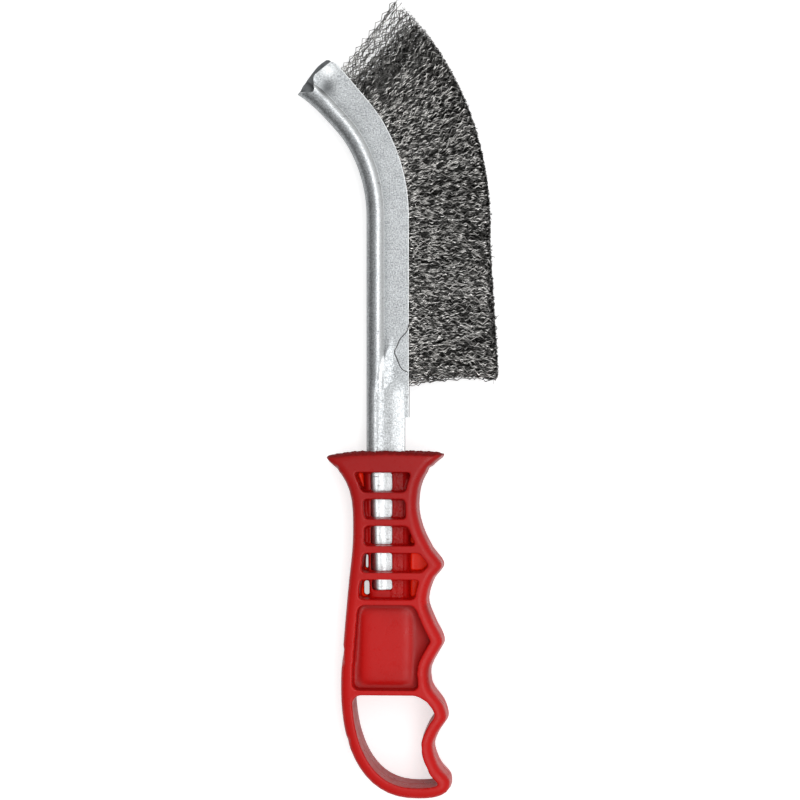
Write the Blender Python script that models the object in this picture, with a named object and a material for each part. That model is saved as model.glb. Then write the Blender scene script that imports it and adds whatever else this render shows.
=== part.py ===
"""A wire hand brush, lying on its side.

Crimped wires are folded round a core wire and clamped in a folded steel sheet, the holder. The lower
end of the holder is a tang, which is moulded into an open plastic handle with finger grooves.

Lengths are in metres. +Y runs from the handle's heel to the brush head, +X to the side that the wires
point to, and +Z up from the surface that the brush lies on. Everything is modelled about the tang's
axis, with y = 0 at the top of the handle's collar and z = 0 at half thickness. At the end one empty
moves it all, so that the origin is under the middle of the brush."""

import math

import bmesh
import bpy
from mathutils import Vector
from mathutils.geometry import tessellate_polygon

# General fits
CLEARANCE = 0.0003          # gap between pieces that touch
OVERRUN = 0.0020            # how far a cutter runs past what it cuts

# Handle, outside
GRIP_LENGTH = 0.1137        # collar top to heel
GRIP_THICKNESS = 0.0180
GRIP_EDGE_RADIUS = 0.0024   # round edge of both flat faces
GRIP_DRAFT = 0.0004         # taper of the side from the parting line to the round edge
PALM_NECK = 0.01055         # tang axis to the palm side of the neck
FINGER_NECK = 0.01105       # the same on the finger side
PALM_REACH = 0.0145         # tang axis to the fullest part of the palm side
FINGER_REACH = 0.02195      # tang axis to the tallest finger bump
COLLAR_REACH = 0.0195       # tang axis to either tip of the collar
COLLAR_LIP = 0.0013         # radius of the collar's tips
PALM_CROWN = 0.0018         # how much lower the collar's top is at its palm tip
FINGER_CROWN = 0.0008       # the same at its finger tip
PALM_FLARE = 0.0257         # length over which the collar runs into the neck
FINGER_FLARE = 0.0210
HEEL_OFFSET = 0.0109        # tang axis to the lowest point of the heel
FLARE_POWER = 3.4
HEEL_POWER = 2.36
TOE_POWER = 2.54

# Palm side: share of the grip's length, share of the swell from neck to full palm
PALM_SWELL_SHARES = ((0.24, 0.0), (0.39, 0.38), (0.52, 0.71), (0.67, 1.0))

# Finger side: share of the grip's length, share of the way from the neck to the tallest bump
FINGER_SHARES = (
    (0.163, 0.000), (0.210, 0.087), (0.282, 0.425), (0.330, 0.761), (0.372, 0.456), (0.429, 0.297),
    (0.488, 0.500), (0.549, 0.778), (0.578, 0.616), (0.635, 0.358), (0.671, 0.402), (0.729, 0.801),
    (0.762, 0.896), (0.809, 0.608), (0.845, 0.470), (0.900, 0.640), (0.947, 1.000),
)

# Handle, windows, recess and hanging loop
GRIP_WALL = 0.0041          # rim round every opening
WEB = 0.0016                # thin web at half thickness in the windows
POCKET_DRAFT = 0.0002
WINDOW_COUNT = 5
WINDOW_TOP = 0.0073         # collar top to the first window
WINDOW_HEIGHT = 0.0065
WINDOW_CORNER = 0.0012
RIB = 0.0022                # bar between two windows
RECESS_BAR = 0.0017         # bar between the last window and the recess
RECESS_DEPTH = 0.0055
RECESS_CORNER = 0.0022
PAD_PALM_REACH = 0.0082     # tang axis to the foot of the recess's raised pad
PAD_FINGER_REACH = 0.0092
PAD_MARGIN = 0.0010         # recess's ends to the foot of the pad
PAD_CORNER = 0.0026
PAD_CORNER_SHARE = 0.45     # most of the pad's shorter side that one corner may take
PAD_SLOPE = 0.0014
PAD_RISE = 0.0008
LOOP_BAR = 0.0016           # bar between the recess and the loop
LOOP_LENGTH = 0.0299
LOOP_CORNER = 0.0030

# Plastic sleeve round the tang, inside the windows
SLEEVE_WALL = 0.0008        # over both faces and the back of the tang
SLEEVE_FRONT_WALL = 0.0016  # over the open edge of the tang
SLEEVE_POWER = 5.0          # squareness of its section
MOUTH_BACK_LAP = 0.0017     # sleeve left over the back of the tang
MOUTH_LEAST_LAP = 0.0003    # the same where the tang has tapered
MOUTH_FRONT_LAP = 0.0040    # sleeve left over the open edge of the tang
MOUTH_LIP = 0.0004          # sleeve left beside each bar
MOUTH_END = 0.0029          # sleeve left at the end of the tang
SLIT_WIDTH = 0.0010         # gap in the web beside the tang, in the last windows
SLIT_GROWTH = 0.0009        # how much wider each next slit is
SLIT_SKIN = 0.0003
SLIT_MARGIN = 0.0009
SLIT_COUNT = 2

# Steel holder: one sheet folded in half lengthwise
SHEET = 0.0008
BEAD_RADIUS = 0.0034        # round back of the fold
SLOT_WIDTH = 0.0032         # clear gap between the two flanges
CHANNEL_DEPTH = 0.0140      # back of the bead to the flanges' edge
TIP_GROWTH = 0.0012         # how much deeper the channel is at its tip
GROWTH_POWER = 4.0          # how late in the bend it gets deeper
STEM = 0.0764               # collar top to the start of the bend
BACK_RADIUS = 0.0464        # bend, at the back of the bead
TIP_ANGLE = math.radians(56.4)
TIP_RUN = 0.0120            # length over which the tip's cut is drawn
TIP_RAKE = 0.0024           # how far the bead stands past the flanges
TIP_CORNER = 0.0008         # round corner of the flanges
TIP_NOTCH = 0.0038          # how far the upper half of the bead is cut back
NOTCH_RUN = 0.0051          # width of flange over which the notch runs out
NOTCH_SHARE = 0.15          # part of the notch that is left on the flanges
TIP_FLARE = 0.0007          # how far the end of the flanges is spread
SHOULDER = 0.0105           # collar top to the end of the flanges
SHOULDER_RAMP = 0.0003
BULGE_TOP = 0.0360          # collar top to where the tang's bulge runs out
BULGE_SOFT_SHARE = 0.60     # share of the bulge's length over which it rises
BULGE_LAG_SHARE = 0.40      # how much later it rises at its sides than in its middle
TANG_WIDTH = 0.0126
TANG_HALF = 0.0033          # half thickness of the tang's open side
LOBE_POWER = 3.2            # squareness of that side
TANG_SPREAD = 0.0005        # how far the open side's curve runs past the tang's edge
TANG_TAPER = 0.0020         # how much narrower the back of the tang is at its end
TANG_STOP = 0.0011          # last window's lower edge to the tang's end

# Core wire and wire fill
CORE_RADIUS = 0.0012
CORE_SHORT = 0.0020         # core wire ends this far inside the fill's ends
FILL_START = 0.0209         # collar top to the lowest wires
FILL_ANGLE = math.radians(52.0)
MOUTH_INSET = 0.0006        # flanges' edge to the top of the fill's backing
WIRE_LOW = 0.0294           # wire length at the low end, at the bend and at the tip
WIRE_MID = 0.0264
WIRE_TIP = 0.0290
TRIM_POWER = 1.6            # how the trim line rises round the bend
WIRE_LAYER = 0.00085        # outer layers from the middle one, at the root
WIRE_FAN = 0.0030           # outer layers from the middle one, at the tips
WIRE_RADIUS = 0.00030
WIRE_CRIMP = 0.00050        # crimp's height
LAYER_STEP = 0.00012        # how far each layer is moved along the fill
CRIMP_COUNT = 3

# Counts of faces
EDGE_STEPS = 3
PALM_POINTS = 48
FINGER_POINTS = 70
OUTLINE_SAMPLES = 300
EDGE_SAMPLES = 700
BEND_PULL = 0.0040          # outline points are drawn to bends by this length for each radian
WINDOW_STEPS = 10
RECESS_STEPS = 20
LOOP_STEPS = 30
PAD_STEPS = 4
SLEEVE_POINTS = 20
BEAD_STEPS = 7
FLANGE_STEPS = 7
BULGE_RINGS = 7
BEND_RINGS = 15
TIP_RINGS = 4
CORE_SIDES = 8
LINING_STEPS = 6
BORE_SIDES = 6
FILL_SLICES = 9
FILL_STRIPS = 3
STRIP_WIRES = 4
SHARP_ANGLE = math.radians(32.0)

# Places worked out from the sizes above
FLANGE_HALF = SLOT_WIDTH / 2 + SHEET
BACK_X = -TANG_WIDTH / 2
BEND_X = BACK_X - BACK_RADIUS
EDGE_RADIUS = BACK_RADIUS + CHANNEL_DEPTH
HOLDER_END = STEM + BACK_RADIUS * TIP_ANGLE
LAST_WINDOW_END = WINDOW_TOP + WINDOW_COUNT * WINDOW_HEIGHT + (WINDOW_COUNT - 1) * RIB
TANG_END = LAST_WINDOW_END - TANG_STOP
RECESS_TOP = LAST_WINDOW_END + RECESS_BAR
RECESS_FLOOR = GRIP_THICKNESS / 2 - RECESS_DEPTH
LOOP_END = GRIP_LENGTH - GRIP_WALL
LOOP_TOP = LOOP_END - LOOP_LENGTH
RECESS_END = LOOP_TOP - LOOP_BAR


# General helpers
def material(name, colour, roughness, metallic):
    """A Principled material."""
    made = bpy.data.materials.new(name)
    made.use_nodes = True
    shader = made.node_tree.nodes["Principled BSDF"]
    shader.inputs["Base Color"].default_value = (*colour, 1.0)
    shader.inputs["Roughness"].default_value = roughness
    shader.inputs["Metallic"].default_value = metallic
    return made


def add_object(name, shape, finish=None):
    """An object from a bmesh: a real piece when it has a finish, and otherwise a hidden cutter."""
    bmesh.ops.recalc_face_normals(shape, faces=shape.faces)
    mesh = bpy.data.meshes.new(name)
    shape.to_mesh(mesh)
    shape.free()
    piece = bpy.data.objects.new(name, mesh)
    bpy.context.scene.collection.objects.link(piece)
    if finish is None:
        piece.hide_render = True
        piece.display_type = "WIRE"
    else:
        mesh.materials.append(finish)
        mesh.shade_smooth()
        mesh.set_sharp_from_angle(angle=SHARP_ANGLE)
    return piece


def add_ring(shape, points):
    """One loop of vertices."""
    return [shape.verts.new(point) for point in points]


def bridge(shape, low, high):
    """Quads between two loops with the same number of vertices."""
    for k in range(len(low)):
        after = (k + 1) % len(low)
        shape.faces.new((low[k], low[after], high[after], high[k]))


def add_loft(shape, outlines):
    """A closed solid through a list of loops, with a flat cap on each end."""
    rings = [add_ring(shape, outline) for outline in outlines]
    for low, high in zip(rings, rings[1:]):
        bridge(shape, low, high)
    shape.faces.new(rings[0])
    shape.faces.new(rings[-1])


def add_block(shape, low, high):
    """A box from its lowest to its highest corner."""
    corners = [(low[0], low[1]), (high[0], low[1]), (high[0], high[1]), (low[0], high[1])]
    add_loft(shape, [[(x, y, z) for x, y in corners] for z in (low[2], high[2])])


def boolean(piece, operation, cutter):
    """A Boolean modifier with the exact solver."""
    step = piece.modifiers.new(cutter.name, "BOOLEAN")
    step.operation = operation
    step.solver = "EXACT"
    step.object = cutter


def ease(share):
    """A soft step from 0 to 1."""
    share = min(max(share, 0.0), 1.0)
    return share * share * (3 - 2 * share)


def superellipse(share, power):
    """Height of a quarter of a superellipse with sides of 1."""
    return (1 - min(share, 1.0) ** power) ** (1 / power)


def track(points, place):
    """A smooth curve through points that keeps their peaks and valleys where they are."""
    slopes = [(b[1] - a[1]) / (b[0] - a[0]) for a, b in zip(points, points[1:])]
    lean = [0.0]
    for before, after in zip(slopes, slopes[1:]):
        lean.append(2 * before * after / (before + after) if before * after > 0 else 0.0)
    lean.append(0.0)
    if place <= points[0][0]:
        return points[0][1]
    for k in range(len(points) - 1):
        if place <= points[k + 1][0]:
            width = points[k + 1][0] - points[k][0]
            share = (place - points[k][0]) / width
            rise = points[k + 1][1] - points[k][1]
            return (points[k][1] + rise * ease(share)
                    + width * lean[k] * share * (1 - share) ** 2
                    - width * lean[k + 1] * share ** 2 * (1 - share))
    return points[-1][1]


def spread(points, count):
    """A given number of points along a dense track, closer together where it bends."""
    reach = [0.0]
    for k in range(1, len(points)):
        here = Vector(points[k]) - Vector(points[k - 1])
        then = Vector(points[min(k + 1, len(points) - 1)]) - Vector(points[k])
        turn = here.angle(then, 0.0)
        reach.append(reach[-1] + here.length + BEND_PULL * turn)
    picked = []
    k = 0
    for n in range(count):
        goal = reach[-1] * n / (count - 1)
        while k < len(points) - 2 and reach[k + 1] < goal:
            k += 1
        share = (goal - reach[k]) / (reach[k + 1] - reach[k])
        picked.append(tuple(Vector(points[k]).lerp(Vector(points[k + 1]), min(share, 1.0))))
    return picked


# Handle outline
def flare(down, neck, crown, length):
    """What the collar adds to the neck's reach: a crowned top, a round tip and a hollow flare."""
    full = COLLAR_REACH - neck
    if down < crown:
        return (COLLAR_REACH - COLLAR_LIP) * math.sqrt(down / crown) - neck
    if down < crown + COLLAR_LIP:
        above = 1 - (down - crown) / COLLAR_LIP
        return full - COLLAR_LIP * (1 - math.sqrt(1 - above * above))
    left = 1 - (down - crown - COLLAR_LIP) / (length - crown - COLLAR_LIP)
    return full * max(left, 0.0) ** FLARE_POWER


def palm_edge(down):
    """Reach of the palm side from the tang's axis, at a distance down from the collar's top."""
    heel_top = GRIP_LENGTH * PALM_SWELL_SHARES[-1][0]
    if down > heel_top:
        drop = (down - heel_top) / (GRIP_LENGTH - heel_top)
        return superellipse(drop, HEEL_POWER) * (PALM_REACH + HEEL_OFFSET) - HEEL_OFFSET
    swell = track(PALM_SWELL_SHARES, down / GRIP_LENGTH)
    collar = flare(down, PALM_NECK, PALM_CROWN, PALM_FLARE)
    return PALM_NECK + swell * (PALM_REACH - PALM_NECK) + collar


def finger_edge(down):
    """Reach of the finger side: grooves and bumps, closed by the toe."""
    toe_top = GRIP_LENGTH * FINGER_SHARES[-1][0]
    if down > toe_top:
        drop = (down - toe_top) / (GRIP_LENGTH - toe_top)
        return superellipse(drop, TOE_POWER) * (FINGER_REACH - HEEL_OFFSET) + HEEL_OFFSET
    bumps = track(FINGER_SHARES, down / GRIP_LENGTH)
    collar = flare(down, FINGER_NECK, FINGER_CROWN, FINGER_FLARE)
    return FINGER_NECK + bumps * (FINGER_REACH - FINGER_NECK) + collar


def edge_stations():
    """Both edges at many places, closest together near the heel, where they run across."""
    stations = []
    for k in range(EDGE_SAMPLES + 1):
        down = GRIP_LENGTH * math.sin(math.pi / 2 * k / EDGE_SAMPLES)
        stations.append((down, palm_edge(down), finger_edge(down)))
    return stations


STATIONS = edge_stations()


def inner_edges(down, inset):
    """Reach of both edges after a wall of even thickness is taken off, as a rolling ball leaves it."""
    if inset <= 0:
        return palm_edge(down), finger_edge(down)
    palm = finger = math.inf
    for station, palm_reach, finger_reach in STATIONS:
        gap = abs(station - down)
        if gap <= inset:
            bite = math.sqrt(inset * inset - gap * gap)
            palm = min(palm, palm_reach - bite)
            finger = min(finger, finger_reach - bite)
    return palm, finger


def grip_outline(inset):
    """The handle's outline drawn in by an inset, down the palm side and up the finger side."""
    palm_side, finger_side = [], []
    for k in range(OUTLINE_SAMPLES + 1):
        down = inset + (GRIP_LENGTH - 2 * inset) * math.sin(math.pi / 2 * k / OUTLINE_SAMPLES)
        palm, finger = inner_edges(down, inset)
        palm_side.append((-palm, -down))
        finger_side.append((finger, -down))
    palm_side = spread(palm_side, PALM_POINTS)
    finger_side = spread(finger_side, FINGER_POINTS)
    return palm_side + finger_side[-2:0:-1]


def grip_body():
    """The handle as a solid block: draft from the parting line, then a round edge on both faces."""
    levels = []
    for k in range(EDGE_STEPS + 1):
        turn = math.pi / 2 * k / EDGE_STEPS
        height = GRIP_THICKNESS / 2 - GRIP_EDGE_RADIUS * (1 - math.sin(turn))
        levels.append((height, GRIP_DRAFT + GRIP_EDGE_RADIUS * (1 - math.cos(turn))))
    outlines = [(height, grip_outline(inset)) for height, inset in levels]
    widest = grip_outline(0.0)
    rings = [[(x, y, -height) for x, y in outline] for height, outline in reversed(outlines)]
    rings.append([(x, y, 0.0) for x, y in widest])
    rings += [[(x, y, height) for x, y in outline] for height, outline in outlines]
    shape = bmesh.new()
    add_loft(shape, rings)
    return shape


# Openings in the handle
def pocket_outline(top, bottom, inset, corner, steps, round_bottom=True):
    """Outline between two bars that follows the rim, with round corners."""
    palm_side, finger_side = [], []
    for k in range(steps + 1):
        down = top + (bottom - top) * (1 - math.cos(math.pi * k / steps)) / 2
        palm, finger = inner_edges(down, inset)
        near = min(down - top, bottom - down) if round_bottom else down - top
        short = max(corner - near, 0.0)
        draw = corner - math.sqrt(corner * corner - short * short)
        palm_side.append((draw - palm, -down))
        finger_side.append((finger - draw, -down))
    if not round_bottom:
        finger_side.pop()
    return palm_side + finger_side[::-1]


def window_span(index):
    """Distance of a window's two ends from the collar's top."""
    top = WINDOW_TOP + index * (WINDOW_HEIGHT + RIB)
    return top, top + WINDOW_HEIGHT


def add_pocket(shape, side, top, bottom, corner, steps, floor):
    """A cutter for a pocket from one face of the handle."""
    rings = []
    for height, draw in ((GRIP_THICKNESS / 2 + OVERRUN, 0.0), (floor, POCKET_DRAFT)):
        outline = pocket_outline(top + draw, bottom - draw, GRIP_WALL + draw, corner, steps)
        rings.append([(x, y, side * height) for x, y in outline])
    add_loft(shape, rings)


def grip_pockets():
    """Cutters for the windows, the recess and the loop, from both faces."""
    shape = bmesh.new()
    for side in (-1, 1):
        for index in range(WINDOW_COUNT):
            top, bottom = window_span(index)
            add_pocket(shape, side, top, bottom, WINDOW_CORNER, WINDOW_STEPS, WEB / 2)
        add_pocket(shape, side, RECESS_TOP, RECESS_END, RECESS_CORNER, RECESS_STEPS, RECESS_FLOOR)
    loop = pocket_outline(LOOP_TOP, LOOP_END, GRIP_WALL, LOOP_CORNER, LOOP_STEPS, round_bottom=False)
    through = GRIP_THICKNESS / 2 + OVERRUN
    add_loft(shape, [[(x, y, height) for x, y in loop] for height in (-through, through)])
    return shape


def pad_outline(draw):
    """Outline of the recess's pad, drawn in from its foot: a rectangle with round corners."""
    left, right = draw - PAD_PALM_REACH, PAD_FINGER_REACH - draw
    low, high = PAD_MARGIN + draw - RECESS_END, -RECESS_TOP - PAD_MARGIN - draw
    corner = min(PAD_CORNER, PAD_CORNER_SHARE * (high - low), PAD_CORNER_SHARE * (right - left))
    centres = ((right - corner, high - corner), (left + corner, high - corner),
               (left + corner, low + corner), (right - corner, low + corner))
    points = []
    for quarter, (x, y) in enumerate(centres):
        for k in range(PAD_STEPS + 1):
            turn = math.pi / 2 * (quarter + k / PAD_STEPS)
            points.append((x + corner * math.cos(turn), y + corner * math.sin(turn)))
    return points


def recess_pads():
    """The raised pads of both recesses: one block through the web between their floors."""
    levels = ((RECESS_FLOOR + PAD_RISE, PAD_SLOPE), (RECESS_FLOOR - PAD_RISE, -PAD_SLOPE))
    rings = [[(x, y, height) for x, y in pad_outline(draw)] for height, draw in levels]
    rings += [[(x, y, -height) for x, y in pad_outline(draw)] for height, draw in levels[::-1]]
    shape = bmesh.new()
    add_loft(shape, rings)
    return shape


# Section of the folded sheet
def taper(y):
    """How far the back of the tang has moved in at a height, below the collar's top."""
    return TANG_TAPER * -y / TANG_END if y < 0 else 0.0


def bulge_share(y, s):
    """How far the flat flange has turned into the tang's rounded side: a flame that widens downwards."""
    if y <= SHOULDER - SHOULDER_RAMP:
        return 1.0
    rise = min(max((BULGE_TOP - y) / (BULGE_TOP - SHOULDER), 0.0), 1.0)
    middle, half = tang_curve()
    lag = BULGE_LAG_SHARE * ((s - middle) / half) ** 2
    return ease((rise - lag) / BULGE_SOFT_SHARE)


def tang_curve():
    """Middle and half width of the tang's rounded open side, measured from the back."""
    join = BEAD_RADIUS + math.sqrt(BEAD_RADIUS ** 2 - FLANGE_HALF ** 2)
    middle = (join + TANG_WIDTH) / 2
    return middle, TANG_WIDTH - middle + TANG_SPREAD


def half_section(y, depth, offset):
    """Half of the sheet's section from the back to the flange's edge: (distance, half thickness)."""
    radius = BEAD_RADIUS - offset
    flange = FLANGE_HALF - offset
    join = math.pi - math.asin(flange / radius)
    points = []
    for k in range(BEAD_STEPS + 1):
        turn = join * k / BEAD_STEPS
        points.append((BEAD_RADIUS - radius * math.cos(turn), radius * math.sin(turn)))
    middle, half = tang_curve()
    start = points[-1][0]
    for k in range(1, FLANGE_STEPS + 1):
        s = start + (depth - start) * k / FLANGE_STEPS
        side = (TANG_HALF - offset) * superellipse(abs(s - middle) / half, LOBE_POWER)
        share = bulge_share(y, s)
        points.append((s, flange + share * (side - flange)))
    width = depth + taper(y)
    return [(taper(y) + s * (1 - taper(y) / width), z) for s, z in points]


def whole_section(half):
    """Both halves of a section, from the upper flange's edge round the back to the lower one."""
    return half[::-1] + [(s, -z) for s, z in half[1:]]


def on_path(along, s, z, shift=0.0):
    """A point of the head: distance along its back, distance from the back, and height."""
    if along <= STEM:
        return BACK_X + s, along + shift, z
    turn = (along - STEM) / BACK_RADIUS + shift / (BACK_RADIUS + s)
    reach = BACK_RADIUS + s
    return BEND_X + reach * math.cos(turn), STEM + reach * math.sin(turn), z


# Plastic sleeve round the tang
def tang_back(down):
    """Where the back of the tang is, at a distance down from the collar's top."""
    return BACK_X + taper(-down)


def sleeve_ring(y):
    """Section of the sleeve: a rounded rectangle round the tang and its clearance."""
    low = tang_back(-y) - CLEARANCE - SLEEVE_WALL
    high = TANG_WIDTH / 2 + CLEARANCE + SLEEVE_FRONT_WALL
    tall = TANG_HALF + CLEARANCE + SLEEVE_WALL
    ring = []
    for k in range(SLEEVE_POINTS):
        turn = 2 * math.pi * k / SLEEVE_POINTS
        across = math.copysign(abs(math.cos(turn)) ** (2 / SLEEVE_POWER), math.cos(turn))
        up = math.copysign(abs(math.sin(turn)) ** (2 / SLEEVE_POWER), math.sin(turn))
        ring.append(((low + high) / 2 + across * (high - low) / 2, y, up * tall))
    return ring


def sleeve():
    """The bar of plastic that runs behind the windows' bars, from the collar to the recess."""
    shape = bmesh.new()
    add_loft(shape, [sleeve_ring(-WINDOW_TOP / 2), sleeve_ring(-LAST_WINDOW_END - RECESS_BAR / 2)])
    return shape


def tang_room():
    """Cutter for the space that the tang fills: its outside and a clearance."""
    shape = bmesh.new()
    rings = []
    for y in (OVERRUN, 0.0, -TANG_END - CLEARANCE):
        half = half_section(y, TANG_WIDTH, -CLEARANCE)
        last = half[-1]
        half.append((last[0] + CLEARANCE, last[1]))
        rings.append([on_path(y, s, z) for s, z in whole_section(half)])
    add_loft(shape, rings)
    return shape


def sleeve_mouths():
    """Cutters that bare the tang in each window, and the slits beside it in the last two."""
    shape = bmesh.new()
    high = GRIP_THICKNESS / 2 + OVERRUN
    for index in range(WINDOW_COUNT):
        top, bottom = window_span(index)
        left = max(BACK_X + MOUTH_BACK_LAP, tang_back(top) + MOUTH_LEAST_LAP)
        right = TANG_WIDTH / 2 - MOUTH_FRONT_LAP
        lip = MOUTH_END if index == WINDOW_COUNT - 1 else MOUTH_LIP
        room = BEAD_RADIUS / 2
        for low_z, high_z in ((room, high), (-high, -room)):
            add_block(shape, (left, lip - bottom, low_z), (right, -top - MOUTH_LIP, high_z))
        slit = index - WINDOW_COUNT + SLIT_COUNT
        if slit >= 0:
            edge = tang_back(top) - CLEARANCE - SLIT_SKIN
            width = SLIT_WIDTH + SLIT_GROWTH * slit
            add_block(shape, (edge - width, SLIT_MARGIN - bottom, -high),
                      (edge, -top - SLIT_MARGIN, high))
    return shape


def make_handle(finish):
    """The handle: a block opened by its pockets, with pads and sleeve set in and the tang's room cut."""
    handle = add_object("handle", grip_body(), finish)
    boolean(handle, "DIFFERENCE", add_object("handle_pockets", grip_pockets()))
    boolean(handle, "UNION", add_object("handle_pads", recess_pads()))
    boolean(handle, "UNION", add_object("handle_sleeve", sleeve()))
    boolean(handle, "DIFFERENCE", add_object("handle_tang_room", tang_room()))
    boolean(handle, "DIFFERENCE", add_object("handle_mouths", sleeve_mouths()))
    return handle


# Holder
def holder_stations():
    """Distances along the back where the holder's section is drawn."""
    stations = [-TANG_END, 0.0, SHOULDER - SHOULDER_RAMP]
    for k in range(BULGE_RINGS + 1):
        stations.append(SHOULDER + (BULGE_TOP - SHOULDER) * k / BULGE_RINGS)
    bend_end = HOLDER_END - TIP_RUN
    for k in range(BEND_RINGS + 1):
        stations.append(STEM + (bend_end - STEM) * k / BEND_RINGS)
    for k in range(1, TIP_RINGS + 1):
        stations.append(bend_end + TIP_RUN * k / TIP_RINGS)
    return stations


def channel_depth(along):
    """Depth of the channel at a distance along its back."""
    bend = max(along - STEM, 0.0) / (HOLDER_END - STEM)
    return CHANNEL_DEPTH + TIP_GROWTH * bend ** GROWTH_POWER


def tip_shift(along, s, z, depth):
    """How far a point near the tip is moved along, so that the end is cut aslant and scooped out."""
    near = ease((along - HOLDER_END + TIP_RUN) / TIP_RUN)
    rake = TIP_RAKE * (1 - s / depth)
    past = min(max(s - depth + TIP_CORNER, 0.0), TIP_CORNER)
    rake -= TIP_CORNER - math.sqrt(TIP_CORNER ** 2 - past ** 2)
    keep = 1 - (1 - NOTCH_SHARE) * ease((s - BEAD_RADIUS) / NOTCH_RUN)
    upper = ease(z / SHEET) * min(s / BEAD_RADIUS, 1.0)
    return near * (rake - TIP_NOTCH * keep * upper)


def holder_ring(shape, along):
    """Outer and inner side of the sheet at one station."""
    depth = TANG_WIDTH if along < SHOULDER else channel_depth(along)
    flare_out = TIP_FLARE * ease((along - HOLDER_END + TIP_RUN) / TIP_RUN)
    loops = []
    for offset in (0.0, SHEET):
        points = []
        for s, z in whole_section(half_section(along, depth, offset)):
            z += math.copysign(flare_out * ease((s - BEAD_RADIUS) / BEAD_RADIUS), z)
            points.append(on_path(along, s, z, tip_shift(along, s, z, depth)))
        loops.append(add_ring(shape, points))
    return loops


def make_holder(finish):
    """The folded sheet: tang, shoulder, straight channel, bend and cut tip."""
    shape = bmesh.new()
    rings = [holder_ring(shape, along) for along in holder_stations()]
    for low, high in zip(rings, rings[1:]):
        bridge(shape, low[0] + low[1][::-1], high[0] + high[1][::-1])
    for outer, inner in (rings[0], rings[-1]):
        for k in range(len(outer) - 1):
            shape.faces.new((outer[k], outer[k + 1], inner[k + 1], inner[k]))
    return add_object("holder", shape, finish)


# Fill
def fill_station(share):
    """Place along the fill by its share of the flanges' edge, as a distance along the back."""
    straight = STEM - FILL_START
    length = straight + EDGE_RADIUS * FILL_ANGLE
    run = share * length
    if run <= straight:
        return FILL_START + run
    return STEM + (run - straight) / EDGE_RADIUS * BACK_RADIUS


def wire_length(along):
    """Wire length at a distance along the back: trimmed shortest at the start of the bend."""
    if along <= STEM:
        share = (STEM - along) / (STEM - FILL_START)
        return WIRE_MID + (WIRE_LOW - WIRE_MID) * share
    share = (along - STEM) / BACK_RADIUS / FILL_ANGLE
    return WIRE_MID + (WIRE_TIP - WIRE_MID) * share ** TRIM_POWER


def backing_top(along):
    """Distance from the back to the top of the fill's backing."""
    return channel_depth(along) - MOUTH_INSET


def backing_section(along):
    """Section of the fill's backing: folded wires packed round the core wire and between the flanges."""
    radius = BEAD_RADIUS - SHEET - CLEARANCE
    tall = SLOT_WIDTH / 2 - CLEARANCE
    join = math.pi - math.asin(tall / radius)
    half = []
    for k in range(LINING_STEPS + 1):
        turn = join * k / LINING_STEPS
        half.append((BEAD_RADIUS - radius * math.cos(turn), radius * math.sin(turn)))
    half.append((backing_top(along), tall))
    return whole_section(half)


def bore_section():
    """Hole of the backing, clear of the core wire."""
    radius = (CORE_RADIUS + CLEARANCE) / math.cos(math.pi / BORE_SIDES)
    turns = [2 * math.pi * (k + 0.5) / BORE_SIDES for k in range(BORE_SIDES)]
    return [(BEAD_RADIUS + radius * math.cos(t), radius * math.sin(t)) for t in turns]


def add_wire(shape, root, outward, height, length):
    """One crimped wire of three sides from its root on the backing. Returns the loop at the root."""
    up = Vector((0.0, 0.0, 1.0))
    sideways = Vector((-outward.y, outward.x, 0.0))
    layer = height / WIRE_LAYER
    rings = []
    for k in range(CRIMP_COUNT + 1):
        run = k / CRIMP_COUNT
        wave = WIRE_CRIMP / 2 * (-1) ** k if k else 0.0
        rise = layer * (WIRE_FAN - WIRE_LAYER) * run
        middle = root + outward * length * run + sideways * wave + up * rise
        ring = []
        for corner in range(3):
            turn = 2 * math.pi * corner / 3
            ring.append(middle + (sideways * math.cos(turn) + up * math.sin(turn)) * WIRE_RADIUS)
        rings.append(add_ring(shape, ring))
    for low, high in zip(rings, rings[1:]):
        bridge(shape, low, high)
    shape.faces.new(rings[-1])
    return rings[0]


def add_strip_top(shape, low, high, low_along, high_along):
    """Top of one strip of backing, with its wires standing on it. low and high are its end corners."""
    frame = [low[0], low[1], high[1], high[0]]
    start = (low[0].co + low[1].co) / 2
    end = (high[0].co + high[1].co) / 2
    strip_way = (end - start).normalized()
    loops = [frame]
    for layer in (-1, 0, 1):
        for k in range(STRIP_WIRES):
            share = (k + 0.5) / STRIP_WIRES
            root = start.lerp(end, share) + strip_way * layer * LAYER_STEP
            root.z = layer * WIRE_LAYER
            along = low_along + (high_along - low_along) * share
            turn = max(along - STEM, 0.0) / BACK_RADIUS
            outward = Vector((math.cos(turn), math.sin(turn), 0.0))
            length = wire_length(along) + MOUTH_INSET
            loops.append(add_wire(shape, root, outward, root.z, length))
    flat = []
    for loop in loops:
        flat.append([Vector(((v.co - start).dot(strip_way), v.co.z, 0.0)) for v in loop])
    verts = [vert for loop in loops for vert in loop]
    for triangle in tessellate_polygon(flat):
        shape.faces.new([verts[k] for k in triangle])


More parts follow.
